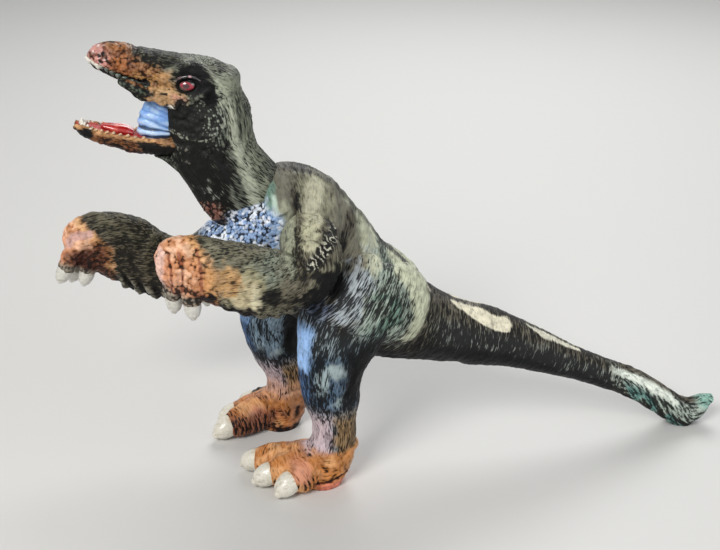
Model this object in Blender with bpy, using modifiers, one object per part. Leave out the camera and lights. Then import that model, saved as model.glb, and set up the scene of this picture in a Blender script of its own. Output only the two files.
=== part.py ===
"""Toy feathered dinosaur figure, about 20 cm long, standing on two feet and its tail.

Design frame: the head looks along -X, the tail runs along +X, the figure's left side is -Y and
+Z is up, with the soles and the tail tip on Z = 0. Sizes are in millimetres and become metres
when a mesh is made. A loft is a list of stations (x, y, z, half width, half height) along a piece.
"""

import math

import bmesh
import bpy
from mathutils import Matrix, Vector

MM = 0.001
PARTS = "toy_dinosaur"
CUTTERS = "cutters"
SIDES = (("left", -1), ("right", 1))

# Clearance between two pieces that fit together
GAP = 0.3

# Place of the design frame, which puts the middle of the figure's box over the origin
SHIFT_X = -38.17
SHIFT_Y = 1.24

# Sides of a loft's rings
LOFT_SIDES = 8
ROUND_SIDES = 16
SMALL_SIDES = 6
TURNED_STEPS = 16
CUTTER_REACH = 240.0

# Jaw joint, across the back of the mouth
JAW_X = -18.0
JAW_Z = 107.5
JAW_KNUCKLE_RADIUS = 4.3
JAW_KNUCKLE_HALF_WIDTH = 4.4
JAW_CLOSING = 20.0
JAW_SLOT_DROP = 6.9
JAW_TOP_CLEARANCE = 9.0
MOUTH_OPEN_X = -44.0
PIN_RADIUS = 1.1
PIN_HALF_LENGTH = 6.4

# Web, tongue and teeth
MEMBRANE_REACH = 19.6
MEMBRANE_HALF_DEPTH = 4.2
MEMBRANE_HALF_WIDTH = 2.8
MEMBRANE_FOOT_ANGLE = -6.0
MEMBRANE_TOP_ANGLE = 37.0
TOOTH_COUNT = 12
TOOTH_HALF_WIDTH = 0.6
TOOTH_HEIGHT = 1.0
UPPER_LIP = {"tip": (-47.8, 129.8), "reach": 14.0, "half_width": 3.9, "slope": -0.5}
LOWER_LIP = {"tip": (-52.6, 112.0), "reach": 17.0, "half_width": 3.9, "slope": -0.22}

# Shoulder swivels, across the chest
SHOULDER_X = 9.0
SHOULDER_Z = 79.0
SHOULDER_FACE = 14.2
SHOULDER_RADIUS = 8.5
SHOULDER_DEPTH = 7.0
BOSS_RADIUS = 7.6
BOSS_HEIGHT = 0.5
ARM_SWEEP = 20.0
PEG_RADIUS = 2.8
PEG_HEAD_RADIUS = 3.8
PEG_HEAD_LENGTH = 2.0
PEG_IN_ARM = 4.6
PEG_IN_TORSO = 7.5

# Plugs that are glued into the torso
NECK_PLUG_RADIUS = 5.0
NECK_PLUG_LENGTH = 9.0
NECK_PLUG_ROOT = 6.0
TAIL_PLUG_RADIUS = 6.0
TAIL_PLUG_LENGTH = 9.0
TAIL_SEAM_X = 47.0
LEG_PLUG_RADIUS = 4.0
LEG_PLUG_REACH = 10.0

# Feet, hands and claws
TOE_RADIUS = 4.9
SOLE_FLAT = 0.4
TOE_CLAW_RADIUS = 3.6
TOE_CLAW_LENGTH = 6.5
FINGER_RADIUS = 3.1
HAND_CLAW_RADIUS = 2.5
HAND_CLAW_LENGTH = 5.5
CLAW_ROOT = 2.5
TOE_NAMES = ("inner", "middle", "outer")

# Eyes
EYE_X = -22.3
EYE_Y = 6.1
EYE_Z = 123.2
EYE_RADIUS = 2.0

# Torso and tail, from the breast to the tip, on rings that all lean alike
TRUNK_UP = (0.22, 0, 0.9755)
TRUNK = [
    (-24.8, 0, 73.5, 3.0, 2.5),
    (-21.0, 0, 73.0, 8.5, 6.2),
    (-14.0, 0, 73.5, 12.0, 11.5),
    (-6.0, 0, 75.5, 14.4, 17.5),
    (1.7, 0, 75.8, 15.6, 21.5),
    (9.4, 0, 71.2, 16.0, 22.3),
    (16.0, 0, 65.3, 15.8, 21.7),
    (21.8, 0, 59.2, 15.4, 20.0),
    (28.3, 0, 53.7, 14.6, 18.2),
    (37.5, 0, 47.9, 13.0, 15.0),
    (46.6, 0, 43.0, 11.2, 11.6),
    (56.5, 0, 39.6, 9.8, 10.0),
    (64.3, 0, 37.6, 9.0, 9.8),
    (73.8, 0, 34.6, 7.9, 8.2),
    (84.3, 0, 30.3, 6.7, 6.8),
    (94.8, 0, 25.6, 5.5, 5.4),
    (106.0, 0, 20.6, 4.8, 4.9),
    (115.6, 0, 16.2, 4.6, 4.9),
    (123.0, 0, 11.4, 4.6, 5.0),
    (129.0, 0, 6.9, 4.6, 5.0),
    (135.0, 0, 3.5, 4.4, 4.9),
    (139.5, 0, 5.4, 3.8, 4.2),
    (142.9, 0, 7.6, 2.0, 2.0),
]

# Haunches, which carry the thighs' outer line back to the root of the tail
LEFT_HAUNCH = [
    (24.0, -12.5, 64.0, 6.0, 9.0),
    (29.0, -13.0, 58.5, 8.5, 13.5),
    (36.5, -9.8, 52.5, 8.0, 12.0),
    (43.0, -6.4, 47.6, 5.5, 8.5),
    (46.0, -5.0, 45.4, 3.0, 5.0),
]
RIGHT_HAUNCH = [
    (15.0, 13.0, 63.5, 6.0, 9.0),
    (22.0, 13.6, 58.5, 8.5, 13.0),
    (31.0, 11.0, 54.0, 8.0, 12.0),
    (40.0, 7.4, 49.4, 6.0, 9.5),
    (45.5, 5.2, 45.8, 3.0, 5.0),
]

# Neck, from its seat in the torso to the back of the skull
NECK = [
    (0.5, 0, 79.0, 8.0, 9.0),
    (-3.5, 0, 84.0, 9.2, 11.5),
    (-8.8, 0, 90.5, 9.2, 12.9),
    (-13.2, 0, 97.8, 8.8, 12.4),
    (-16.4, 0, 105.0, 8.5, 12.8),
    (-16.2, 0, 112.0, 8.4, 11.2),
    (-16.4, 0, 118.0, 8.0, 9.2),
    (-17.4, 0, 122.5, 6.8, 6.0),
]

SKULL = [
    (-9.8, 0, 118.0, 5.2, 5.0),
    (-12.8, 0, 119.5, 7.4, 8.4),
    (-18.5, 0, 121.8, 8.1, 8.1),
    (-24.0, 0, 124.2, 7.4, 6.7),
    (-30.0, 0, 126.3, 6.2, 5.9),
    (-36.5, 0, 128.2, 5.4, 5.1),
    (-42.0, 0, 129.7, 4.8, 4.3),
    (-46.5, 0, 130.7, 3.8, 3.2),
    (-48.8, 0, 131.0, 2.2, 1.9),
]

# Cheeks, which cover the rear of the jaw on both sides
CHEEKS = [
    (-22.0, 0, 121.5, 6.0, 4.5),
    (-22.5, 0, 116.0, 7.0, 7.0),
    (-21.8, 0, 109.5, 7.3, 7.2),
    (-20.8, 0, 103.5, 7.0, 6.5),
    (-19.5, 0, 99.5, 6.0, 4.5),
]

# Skin of the throat, from under the jaw to the neck
THROAT = [
    (-33.0, 0, 101.2, 1.5, 0.5),
    (-30.5, 0, 100.9, 3.4, 0.9),
    (-27.0, 0, 99.4, 4.8, 1.8),
    (-23.5, 0, 97.0, 5.8, 2.8),
    (-20.0, 0, 93.0, 6.2, 3.6),
]

JAW = [
    (-17.0, 0, 107.2, 3.8, 3.2),
    (-20.0, 0, 106.4, 4.4, 3.8),
    (-27.0, 0, 105.2, 4.6, 3.4),
    (-34.0, 0, 105.5, 5.0, 3.2),
    (-41.0, 0, 106.8, 4.7, 2.9),
    (-47.0, 0, 108.6, 4.0, 2.6),
    (-51.5, 0, 110.3, 3.0, 2.2),
    (-53.8, 0, 111.3, 1.6, 1.4),
]

# Tongue: how far ahead of the web's front, height, half width and half height
TONGUE = [
    (1.0, 108.7, 1.8, 1.0),
    (2.9, 109.3, 2.4, 1.5),
    (5.4, 110.0, 2.3, 1.3),
    (8.7, 110.8, 1.5, 0.9),
]

LEFT_LEG = [
    (26.2, -9.5, 70.6, 4.0, 5.0),
    (24.5, -12.0, 66.0, 7.0, 10.0),
    (21.0, -14.5, 58.0, 9.3, 14.0),
    (17.5, -16.3, 50.0, 9.8, 13.0),
    (15.2, -17.0, 41.5, 9.0, 10.5),
    (14.6, -17.0, 34.0, 8.2, 9.1),
    (15.0, -17.0, 27.5, 7.2, 8.3),
    (15.4, -17.0, 21.5, 6.2, 6.8),
    (15.4, -17.2, 15.5, 6.0, 6.7),
    (14.0, -17.5, 9.0, 6.6, 7.4),
    (11.8, -18.0, 3.0, 6.8, 6.6),
    (11.0, -18.0, -1.5, 6.0, 6.0),
]

RIGHT_LEG = [
    (23.0, 10.0, 69.0, 4.0, 5.0),
    (20.0, 12.0, 65.0, 7.0, 10.0),
    (11.5, 14.5, 57.5, 9.3, 14.0),
    (4.0, 16.3, 49.0, 9.8, 13.2),
    (-0.3, 17.0, 41.0, 9.0, 10.6),
    (0.0, 17.0, 34.0, 8.2, 9.3),
    (1.5, 17.0, 27.0, 7.2, 8.4),
    (3.3, 17.0, 21.0, 6.2, 7.0),
    (3.9, 17.0, 15.0, 6.0, 6.8),
    (3.0, 17.0, 9.0, 6.6, 7.4),
    (1.4, 17.0, 3.0, 6.8, 6.6),
    (0.6, 17.0, -1.5, 6.0, 6.0),
]

# Tips of the toe claws on the table, inner, middle and outer
LEFT_TOES = [(-12.6, -9.4), (-9.4, -19.8), (-2.8, -27.4)]
RIGHT_TOES = [(-20.6, 8.0), (-18.8, 17.4), (-11.4, 27.6)]

LEFT_UPPER_ARM = [
    (9.5, -17.5, 84.0, 3.0, 4.0),
    (9.5, -19.5, 80.0, 5.0, 8.0),
    (9.0, -22.0, 75.0, 6.0, 8.5),
    (5.5, -24.0, 70.5, 6.0, 8.0),
    (2.0, -25.5, 67.5, 4.0, 5.0),
]
LEFT_FOREARM = [
    (9.0, -23.5, 71.0, 3.5, 4.0),
    (6.0, -24.0, 70.0, 5.3, 7.5),
    (-2.0, -25.5, 71.0, 6.2, 10.0),
    (-10.0, -26.5, 73.8, 6.3, 10.2),
    (-17.0, -26.5, 76.2, 6.0, 9.4),
    (-24.0, -25.5, 78.0, 5.8, 8.8),
    (-29.5, -25.0, 78.0, 5.0, 8.0),
    (-32.5, -25.0, 77.5, 3.0, 5.0),
]
RIGHT_UPPER_ARM = [
    (9.5, 17.5, 84.0, 3.0, 4.0),
    (8.5, 19.5, 80.0, 5.0, 8.0),
    (3.0, 22.4, 74.5, 5.8, 8.0),
    (-4.0, 24.2, 69.0, 5.8, 8.0),
    (-11.0, 24.8, 64.0, 5.6, 7.6),
    (-15.5, 24.8, 61.0, 4.0, 5.0),
]
RIGHT_FOREARM = [
    (-7.0, 24.6, 63.5, 3.5, 4.2),
    (-12.0, 24.6, 61.5, 5.6, 7.4),
    (-20.0, 24.0, 57.8, 6.2, 8.8),
    (-30.0, 22.5, 55.8, 6.3, 10.2),
    (-39.0, 21.5, 59.8, 6.2, 10.8),
    (-46.5, 20.8, 65.0, 6.0, 11.0),
    (-53.5, 20.2, 67.6, 5.6, 9.6),
    (-59.5, 20.0, 67.5, 4.6, 7.2),
    (-62.3, 20.0, 67.0, 2.6, 4.6),
]

# Knuckle and claw tip of each finger
LEFT_FINGERS = [
    ((-29.0, -23.5, 76.0), (-29.8, -23.5, 63.5)),
    ((-24.5, -27.0, 75.0), (-24.6, -27.5, 63.0)),
    ((-20.5, -22.5, 75.0), (-20.6, -22.0, 64.5)),
]
RIGHT_FINGERS = [
    ((-59.0, 17.0, 68.0), (-65.6, 16.2, 56.5)),
    ((-57.5, 22.0, 66.0), (-62.8, 22.5, 53.8)),
    ((-54.5, 18.0, 66.0), (-58.6, 17.6, 54.5)),
]

# Raised rows of scales down the outer side of each hand: top, middle and foot of each row
LEFT_HAND_ROWS = [
    [(-28.0, -28.2, 83.0), (-28.4, -29.8, 78.0), (-28.6, -28.6, 72.0)],
    [(-23.6, -29.2, 84.0), (-23.8, -30.8, 78.0), (-23.8, -29.4, 71.5)],
    [(-19.6, -29.6, 83.0), (-19.8, -30.8, 77.0), (-19.9, -29.8, 71.0)],
]
RIGHT_HAND_ROWS = [
    [(-58.6, 22.6, 72.4), (-59.2, 24.0, 67.5), (-59.6, 23.0, 62.5)],
    [(-54.0, 23.6, 74.4), (-54.2, 25.2, 67.6), (-54.4, 23.8, 61.0)],
    [(-49.2, 24.2, 73.4), (-49.4, 25.8, 66.0), (-49.6, 24.4, 58.6)],
]
HAND_ROW_RADIUS = 1.4

# Feather locks along the underside of the right forearm: root inside it and tip
RIGHT_LOCKS = [
    ((-46.0, 20.9, 57.5), (-43.6, 20.9, 50.4)),
    ((-41.2, 21.3, 54.5), (-38.4, 21.3, 47.4)),
    ((-36.0, 21.8, 52.0), (-32.8, 21.8, 45.4)),
    ((-30.4, 22.4, 50.8), (-27.0, 22.4, 44.8)),
    ((-25.0, 23.2, 52.0), (-21.6, 23.2, 46.8)),
]
LOCK_RADIUS = 2.0

# Finishes: name, colour, roughness
SKIN = ("painted_skin", (0.10, 0.10, 0.085), 0.45)
HAND_SKIN = ("painted_hands", (0.55, 0.27, 0.16), 0.45)
LEG_SKIN = ("painted_legs", (0.10, 0.12, 0.16), 0.45)
CLAW = ("claw_ivory", (0.78, 0.75, 0.66), 0.35)
JAW_PAINT = ("painted_jaw", (0.42, 0.24, 0.13), 0.45)
MOUTH_RED = ("mouth_red", (0.55, 0.05, 0.05), 0.3)
MOUTH_BLUE = ("mouth_blue", (0.25, 0.45, 0.72), 0.3)
TOOTH_WHITE = ("tooth_white", (0.80, 0.78, 0.70), 0.35)
EYE_RED = ("eye_red", (0.55, 0.03, 0.05), 0.15)
PEG_PLASTIC = ("swivel_peg", (0.75, 0.74, 0.70), 0.4)
STEEL = ("pin_steel", (0.55, 0.55, 0.56), 0.3)


def clear_scene():
    for thing in list(bpy.data.objects):
        bpy.data.objects.remove(thing)


def make_collection(name, hidden=False):
    group = bpy.data.collections.new(name)
    bpy.context.scene.collection.children.link(group)
    group.hide_render = hidden


def paint(thing, finish):
    """Gives a piece its finish: a plastic with one colour, shared by the pieces of that finish."""
    name, colour, roughness = finish
    material = bpy.data.materials.get(name)
    if material is None:
        material = bpy.data.materials.new(name)
        material.use_nodes = True
        shader = material.node_tree.nodes["Principled BSDF"]
        shader.inputs["Base Color"].default_value = (*colour, 1.0)
        shader.inputs["Roughness"].default_value = roughness
        shader.inputs["Metallic"].default_value = 0.9 if finish is STEEL else 0.0
        material.diffuse_color = (*colour, 1.0)
    thing.data.materials.clear()
    thing.data.materials.append(material)


def add_empty(name, place, parent=None):
    empty = bpy.data.objects.new(name, None)
    empty.location = Vector(place) * MM
    empty.parent = parent
    bpy.data.collections[PARTS].objects.link(empty)
    return empty


def add_object(name, bm, group):
    """Makes an object from a mesh in millimetres and hangs it on the figure's empty."""
    bmesh.ops.scale(bm, vec=(MM, MM, MM), verts=bm.verts)
    mesh = bpy.data.meshes.new(name)
    bm.to_mesh(mesh)
    bm.free()
    mesh.shade_smooth()
    thing = bpy.data.objects.new(name, mesh)
    bpy.data.collections[group].objects.link(thing)
    thing.parent = bpy.data.objects["figure"]
    if group == CUTTERS:
        thing.hide_render = True
        thing.display_type = "WIRE"
    return thing


def hang(thing, pivot):
    """Moves a piece's origin to its joint's empty, and leaves its shape where it is."""
    thing.data.transform(Matrix.Translation(-pivot.location))
    thing.parent = pivot


def loft(name, stations, group=PARTS, sides=LOFT_SIDES, grow=0.0, lateral=(0, 1, 0), level=1, up=None):
    """Carries an ellipse along the stations: rings square to the path or to `up`, and closed ends.

    The rings are drawn larger by the share that a polygon of this many sides takes off them.
    """
    points = [Vector(station[:3]) for station in stations]
    start = (points[0] - points[1]).normalized()
    finish = (points[-1] - points[-2]).normalized()
    points[0] += start * grow
    points[-1] += finish * grow
    fill = 1 / math.cos(math.pi / sides)
    bm = bmesh.new()
    rings = []
    for index, station in enumerate(stations):
        along = points[min(index + 1, len(points) - 1)] - points[max(index - 1, 0)]
        along.normalize()
        upward = Vector(up) if up else along.cross(Vector(lateral)).normalized()
        side = upward.cross(along).normalized()
        half_width, half_height = (size + grow for size in station[3:5])
        ring = []
        for step in range(sides):
            turn = 2 * math.pi * (step + 0.5) / sides
            across = side * half_width * math.cos(turn) + upward * half_height * math.sin(turn)
            ring.append(bm.verts.new(points[index] + across * fill))
        rings.append(ring)
    for lower, upper in zip(rings, rings[1:]):
        for step in range(sides):
            following = (step + 1) % sides
            bm.faces.new((lower[step], lower[following], upper[following], upper[step]))
    bm.faces.new(rings[0])
    bm.faces.new(rings[-1])
    bmesh.ops.recalc_face_normals(bm, faces=bm.faces)
    thing = add_object(name, bm, group)
    if level:
        modifier = thing.modifiers.new("smooth", "SUBSURF")
        modifier.levels = modifier.render_levels = level
    return thing


def rod(name, start, end, radius, group=CUTTERS, segments=24):
    """A plain cylinder between two points."""
    start, end = Vector(start), Vector(end)
    turn = Vector((0, 0, 1)).rotation_difference(end - start).to_matrix().to_4x4()
    bm = bmesh.new()
    bmesh.ops.create_cone(
        bm, cap_ends=True, segments=segments, radius1=radius, radius2=radius, depth=(end - start).length
    )
    bmesh.ops.transform(bm, matrix=Matrix.Translation((start + end) / 2) @ turn, verts=bm.verts)
    return add_object(name, bm, group)


def ball(name, centre, radius, group=CUTTERS):
    bm = bmesh.new()
    bmesh.ops.create_uvsphere(bm, u_segments=14, v_segments=8, radius=radius)
    bmesh.ops.translate(bm, vec=centre, verts=bm.verts)
    return add_object(name, bm, group)


def block(name, low, high):
    """A box cutter between two corners."""
    low, high = Vector(low), Vector(high)
    bm = bmesh.new()
    bmesh.ops.create_cube(bm, size=1.0)
    bmesh.ops.scale(bm, vec=high - low, verts=bm.verts)
    bmesh.ops.translate(bm, vec=(low + high) / 2, verts=bm.verts)
    return add_object(name, bm, CUTTERS)


def below_table(name):
    return block(name, (-CUTTER_REACH, -CUTTER_REACH, -CUTTER_REACH), (CUTTER_REACH, CUTTER_REACH, 0))


def half_space(name, point, normal):
    """A large box cutter that fills everything on the normal's side of a plane."""
    turn = Vector((0, 0, 1)).rotation_difference(Vector(normal)).to_matrix().to_4x4()
    bm = bmesh.new()
    bmesh.ops.create_cube(bm, size=CUTTER_REACH)
    bmesh.ops.translate(bm, vec=(0, 0, CUTTER_REACH / 2), verts=bm.verts)
    bmesh.ops.transform(bm, matrix=Matrix.Translation(point) @ turn, verts=bm.verts)
    return add_object(name, bm, CUTTERS)


def slab(name, outline, half_width):
    """A flat cutter with an outline in X and Z, two half widths thick across the figure."""
    bm = bmesh.new()
    near = bm.faces.new([bm.verts.new((x, -half_width, z)) for x, z in outline])
    made = bmesh.ops.extrude_face_region(bm, geom=[near])["geom"]
    moved = [item for item in made if isinstance(item, bmesh.types.BMVert)]
    bmesh.ops.translate(bm, vec=(0, 2 * half_width, 0), verts=moved)
    bmesh.ops.recalc_face_normals(bm, faces=bm.faces)
    return add_object(name, bm, CUTTERS)


def along_y(name, y_start, y_end, x, z, radius, group=CUTTERS, segments=24):
    return rod(name, (x, y_start, z), (x, y_end, z), radius, group, segments)


def combine(target, tools, operation):
    for tool in tools:
        modifier = target.modifiers.new(operation.lower(), "BOOLEAN")
        modifier.operation = operation
        modifier.object = tool
        modifier.solver = "EXACT"


def cut(target, *tools):
    combine(target, tools, "DIFFERENCE")


def join(target, *tools):
    combine(target, tools, "UNION")


def claw(name, root, tip, radius, group=PARTS, grow=0.0):
    """A plump cone from inside its socket to a blunt tip."""
    along = (tip - root).normalized()
    inner = root - along * CLAW_ROOT
    full = (tip - inner).length
    stations = []
    for share, girth in ((0.0, 0.72), (0.5, 1.0), (0.82, 0.82), (1.0, 0.32)):
        stations.append((*(inner + along * full * share), radius * girth, radius * girth))
    return loft(name, stations, group, SMALL_SIDES, grow, lateral=(0.4, 0.9, 0))


def add_claws(limb, places, radius, pivot=None):
    """Sinks a socket for each claw into a limb and makes the claws, cut off at the table."""
    for name, root, tip in places:
        cut(limb, claw(f"{name}_socket", root, tip, radius, CUTTERS, GAP))
        nail = claw(name, root, tip, radius)
        paint(nail, CLAW)
        if pivot:
            hang(nail, pivot)
        else:
            cut(nail, below_table(f"{name}_table"))


def toe(name, ankle, tip):
    """One toe, from inside the foot to the root of its claw, with the root and the claw's tip."""
    heel = Vector((ankle[0] - 2.0, ankle[1], TOE_RADIUS + 2.2))
    point = Vector((*tip, TOE_CLAW_RADIUS * 0.6))
    flat = Vector((point.x - heel.x, point.y - heel.y, 0)).normalized()
    root = point - flat * TOE_CLAW_LENGTH
    root.z = TOE_RADIUS - SOLE_FLAT
    stations = [
        (*heel, TOE_RADIUS, TOE_RADIUS * 1.5),
        (*heel.lerp(root, 0.5), TOE_RADIUS * 0.95, TOE_RADIUS * 1.25),
        (*heel.lerp(root, 0.88), TOE_RADIUS * 1.0, TOE_RADIUS * 1.05),
        (*(root + flat * 1.2), TOE_RADIUS * 0.8, TOE_RADIUS * 0.8),
    ]
    return loft(name, stations, CUTTERS), root, point


def make_leg(side, sign, stations, toe_tips):
    """Thigh, shank, foot and toes in one piece. Returns the cutters of its socket in the torso."""
    leg = loft(f"{side}_leg", stations)
    claws = []
    for name, tip in zip(TOE_NAMES, toe_tips):
        shape, root, point = toe(f"{side}_{name}_toe_shape", stations[-3], tip)
        join(leg, shape)
        claws.append((f"{side}_{name}_toe_claw", root, point))
    hip = Vector(stations[1][:3])
    inward = Vector((0, -sign, 0))
    plug_end = hip + inward * LEG_PLUG_REACH
    join(leg, rod(f"{side}_leg_plug", hip, plug_end, LEG_PLUG_RADIUS))
    cut(leg, below_table(f"{side}_sole_cutter"))
    add_claws(leg, claws, TOE_CLAW_RADIUS)
    paint(leg, LEG_SKIN)
    socket = loft(f"{side}_leg_socket", stations[:7], CUTTERS, grow=GAP)
    bore = rod(f"{side}_leg_plug_socket", hip, plug_end + inward * GAP, LEG_PLUG_RADIUS + GAP)
    return [socket, bore]


def peg_profile(grow):
    """The swivel peg from its end in the arm to its barbed end in the torso, as (y, radius)."""
    barb = SHOULDER_FACE - PEG_IN_TORSO
    return [
        (SHOULDER_FACE + PEG_IN_ARM + grow, 0.0),
        (SHOULDER_FACE + PEG_IN_ARM + grow, PEG_RADIUS + grow),
        (barb + PEG_HEAD_LENGTH + grow, PEG_RADIUS + grow),
        (barb + PEG_HEAD_LENGTH + grow, PEG_HEAD_RADIUS + grow),
        (barb - grow, PEG_RADIUS + grow),
        (barb - grow, 0.0),
    ]


def turned_peg(name, sign, group=CUTTERS, grow=0.0):
    """Spins the peg's profile about the shoulder's axis."""
    bm = bmesh.new()
    points = [bm.verts.new((radius, 0.0, y)) for y, radius in peg_profile(grow)]
    for first, second in zip(points, points[1:]):
        bm.edges.new((first, second))
    thing = add_object(name, bm, group)
    thing.location = Vector((SHOULDER_X, 0, SHOULDER_Z)) * MM
    thing.rotation_euler = (math.radians(-90 * sign), 0, 0)
    spin = thing.modifiers.new("turn", "SCREW")
    spin.steps = spin.render_steps = TURNED_STEPS
    spin.use_merge_vertices = True
    spin.merge_threshold = 0.0001
    return thing


def relief_of_hand(side, rows, locks):
    """The raised rows of scales on a hand and the feather locks under a forearm."""
    shapes = []
    for index, row in enumerate(rows):
        sizes = (HAND_ROW_RADIUS * 0.6, HAND_ROW_RADIUS, HAND_ROW_RADIUS * 0.7)
        stations = [(*point, size, size) for point, size in zip(row, sizes)]
        shapes.append(loft(f"{side}_hand_row_{index}", stations, CUTTERS, SMALL_SIDES, lateral=(1, 0, 0), level=0))
    for index, (root, tip) in enumerate(locks):
        middle = Vector(root).lerp(Vector(tip), 0.55)
        stations = [
            (*root, LOCK_RADIUS, LOCK_RADIUS),
            (*middle, LOCK_RADIUS, LOCK_RADIUS * 0.9),
            (*tip, LOCK_RADIUS * 0.3, LOCK_RADIUS * 0.25),
        ]
        shapes.append(loft(f"{side}_forearm_lock_{index}", stations, CUTTERS, SMALL_SIDES, level=0))
    return shapes


def make_arm(side, sign, upper, fore, fingers, relief, pivot):
    """One arm: a round shoulder on the swivel, upper arm, forearm, fingers and claws."""
    arm = loft(f"{side}_arm", fore)
    face = sign * SHOULDER_FACE
    shoulder = []
    for depth, girth in ((-0.1, 1.0), (0.2, 1.0), (0.75, 0.82), (1.0, 0.45)):
        y = face + sign * SHOULDER_DEPTH * depth
        radius = SHOULDER_RADIUS * girth
        shoulder.append((SHOULDER_X, y, SHOULDER_Z, radius, radius))
    join(arm, *relief_of_hand(side, *relief))
    join(arm, loft(f"{side}_upper_arm_shape", upper, CUTTERS))
    join(arm, loft(f"{side}_shoulder_shape", shoulder, CUTTERS, ROUND_SIDES, lateral=(1, 0, 0)))
    claws = []
    for name, (knuckle, tip) in zip(TOE_NAMES, fingers):
        knuckle, tip = Vector(knuckle), Vector(tip)
        along = (tip - knuckle).normalized()
        root = tip - along * HAND_CLAW_LENGTH
        stations = [
            (*knuckle, FINGER_RADIUS, FINGER_RADIUS),
            (*knuckle.lerp(root, 0.7), FINGER_RADIUS, FINGER_RADIUS),
            (*(root + along * 1.0), FINGER_RADIUS * 0.8, FINGER_RADIUS * 0.8),
        ]
        join(arm, loft(f"{side}_{name}_finger_shape", stations, CUTTERS))
        claws.append((f"{side}_{name}_hand_claw", root, tip))
    inner, outer = sorted((-sign * CUTTER_REACH, face))
    low = (SHOULDER_X - ARM_SWEEP, inner, 0)
    cut(arm, block(f"{side}_shoulder_flat", low, (CUTTER_REACH, outer, CUTTER_REACH)))
    add_claws(arm, claws, HAND_CLAW_RADIUS, pivot)
    cut(arm, turned_peg(f"{side}_peg_bore_arm", sign, grow=GAP))
    paint(arm, HAND_SKIN)
    hang(arm, pivot)
    peg = turned_peg(f"{side}_shoulder_peg", sign, PARTS)
    paint(peg, PEG_PLASTIC)
    peg.parent = pivot
    peg.location = (0, 0, 0)


def make_torso(leg_sockets):
    torso = loft("torso", TRUNK, up=TRUNK_UP)
    join(torso, loft("left_haunch", LEFT_HAUNCH, CUTTERS), loft("right_haunch", RIGHT_HAUNCH, CUTTERS))
    seam, along = tail_seam()
    cut(torso, half_space("torso_tail_end", seam - along * GAP / 2, along))
    socket_end = seam - along * (TAIL_PLUG_LENGTH + GAP)
    cut(torso, rod("tail_socket", seam + along, socket_end, TAIL_PLUG_RADIUS + GAP))
    for side, sign in SIDES:
        face = sign * (SHOULDER_FACE - GAP)
        outer = face + sign * ARM_SWEEP
        place = (SHOULDER_X, SHOULDER_Z)
        inner = face - sign * BOSS_HEIGHT
        cut(torso, along_y(f"{side}_arm_clearance", inner, outer, *place, ARM_SWEEP, segments=48))
        join(torso, along_y(f"{side}_shoulder_boss", 0, face, *place, BOSS_RADIUS))
        cut(torso, turned_peg(f"{side}_peg_bore_torso", sign, grow=GAP))
    root, axis = neck_plug()
    cut(torso, loft("neck_socket", NECK, CUTTERS, grow=GAP))
    start, end = root - axis * NECK_PLUG_ROOT, root + axis * (NECK_PLUG_LENGTH + GAP)
    cut(torso, rod("neck_plug_socket", start, end, NECK_PLUG_RADIUS + GAP))
    cut(torso, *leg_sockets)
    paint(torso, SKIN)


def tail_seam():
    """The point on the trunk's middle line where the tail is parted, and the line's direction."""
    before = max(station for station in TRUNK if station[0] < TAIL_SEAM_X)
    after = min(station for station in TRUNK if station[0] >= TAIL_SEAM_X)
    start, end = Vector(before[:3]), Vector(after[:3])
    share = (TAIL_SEAM_X - start.x) / (end.x - start.x)
    return start.lerp(end, share), (end - start).normalized()


def neck_plug():
    """Where the plug leaves the neck's lower end, and its direction into the torso."""
    root, second = Vector(NECK[0][:3]), Vector(NECK[1][:3])
    return root, (root - second).normalized()


def make_tail():
    tail = loft("tail", TRUNK, up=TRUNK_UP)
    seam, along = tail_seam()
    cut(tail, half_space("tail_torso_end", seam + along * GAP / 2, -along))
    join(tail, rod("tail_plug", seam + along * 4, seam - along * TAIL_PLUG_LENGTH, TAIL_PLUG_RADIUS))
    cut(tail, below_table("tail_table"))
    paint(tail, SKIN)


def jaw_place(reach, rise):
    """A point in X and Z at a reach from the jaw's pivot, raised by an angle above the level."""
    turn = math.radians(rise)
    return JAW_X - reach * math.cos(turn), JAW_Z + reach * math.sin(turn)


def jaw_slot():
    """The cut in the head that the jaw swings in: a disc round the pin, open towards the mouth."""
    radius = JAW_KNUCKLE_RADIUS + GAP
    floor = JAW_Z - JAW_SLOT_DROP
    outline = [(MOUTH_OPEN_X, floor), (JAW_X - radius, floor)]
    for step in range(9):
        turn = math.radians(-90 + 180 * step / 8)
        outline.append((JAW_X + radius * math.cos(turn), JAW_Z + radius * math.sin(turn)))
    rise = math.tan(math.radians(JAW_CLOSING + JAW_TOP_CLEARANCE))
    outline.append((MOUTH_OPEN_X, JAW_Z + radius + (JAW_X - MOUTH_OPEN_X) * rise))
    return slab("jaw_slot", outline, JAW_KNUCKLE_HALF_WIDTH + GAP)


def membrane_pocket():
    """The hollow in the roof of the mouth that the web enters as the jaw closes."""
    reach = MEMBRANE_REACH + 2 * GAP
    low = MEMBRANE_TOP_ANGLE / 2
    top = MEMBRANE_TOP_ANGLE + JAW_CLOSING + 4.0
    outline = [jaw_place(JAW_KNUCKLE_RADIUS, low)]
    outline += [jaw_place(reach, low + (top - low) * step / 6) for step in range(7)]
    outline.append(jaw_place(JAW_KNUCKLE_RADIUS, top))
    return slab("membrane_pocket", outline, MEMBRANE_HALF_WIDTH + 2 * GAP)


def membrane_stations():
    """The web stands on the jaw and follows an arc about the jaw's pin."""
    middle = MEMBRANE_REACH - MEMBRANE_HALF_DEPTH
    stations = []
    for share, girth in ((0.0, 1.0), (0.35, 1.0), (0.65, 0.9), (0.88, 0.62), (1.0, 0.3)):
        angle = MEMBRANE_FOOT_ANGLE + (MEMBRANE_TOP_ANGLE - MEMBRANE_FOOT_ANGLE) * share
        x, z = jaw_place(middle, angle)
        stations.append((x, 0, z, MEMBRANE_HALF_WIDTH * girth, MEMBRANE_HALF_DEPTH * girth))
    return stations


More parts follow.
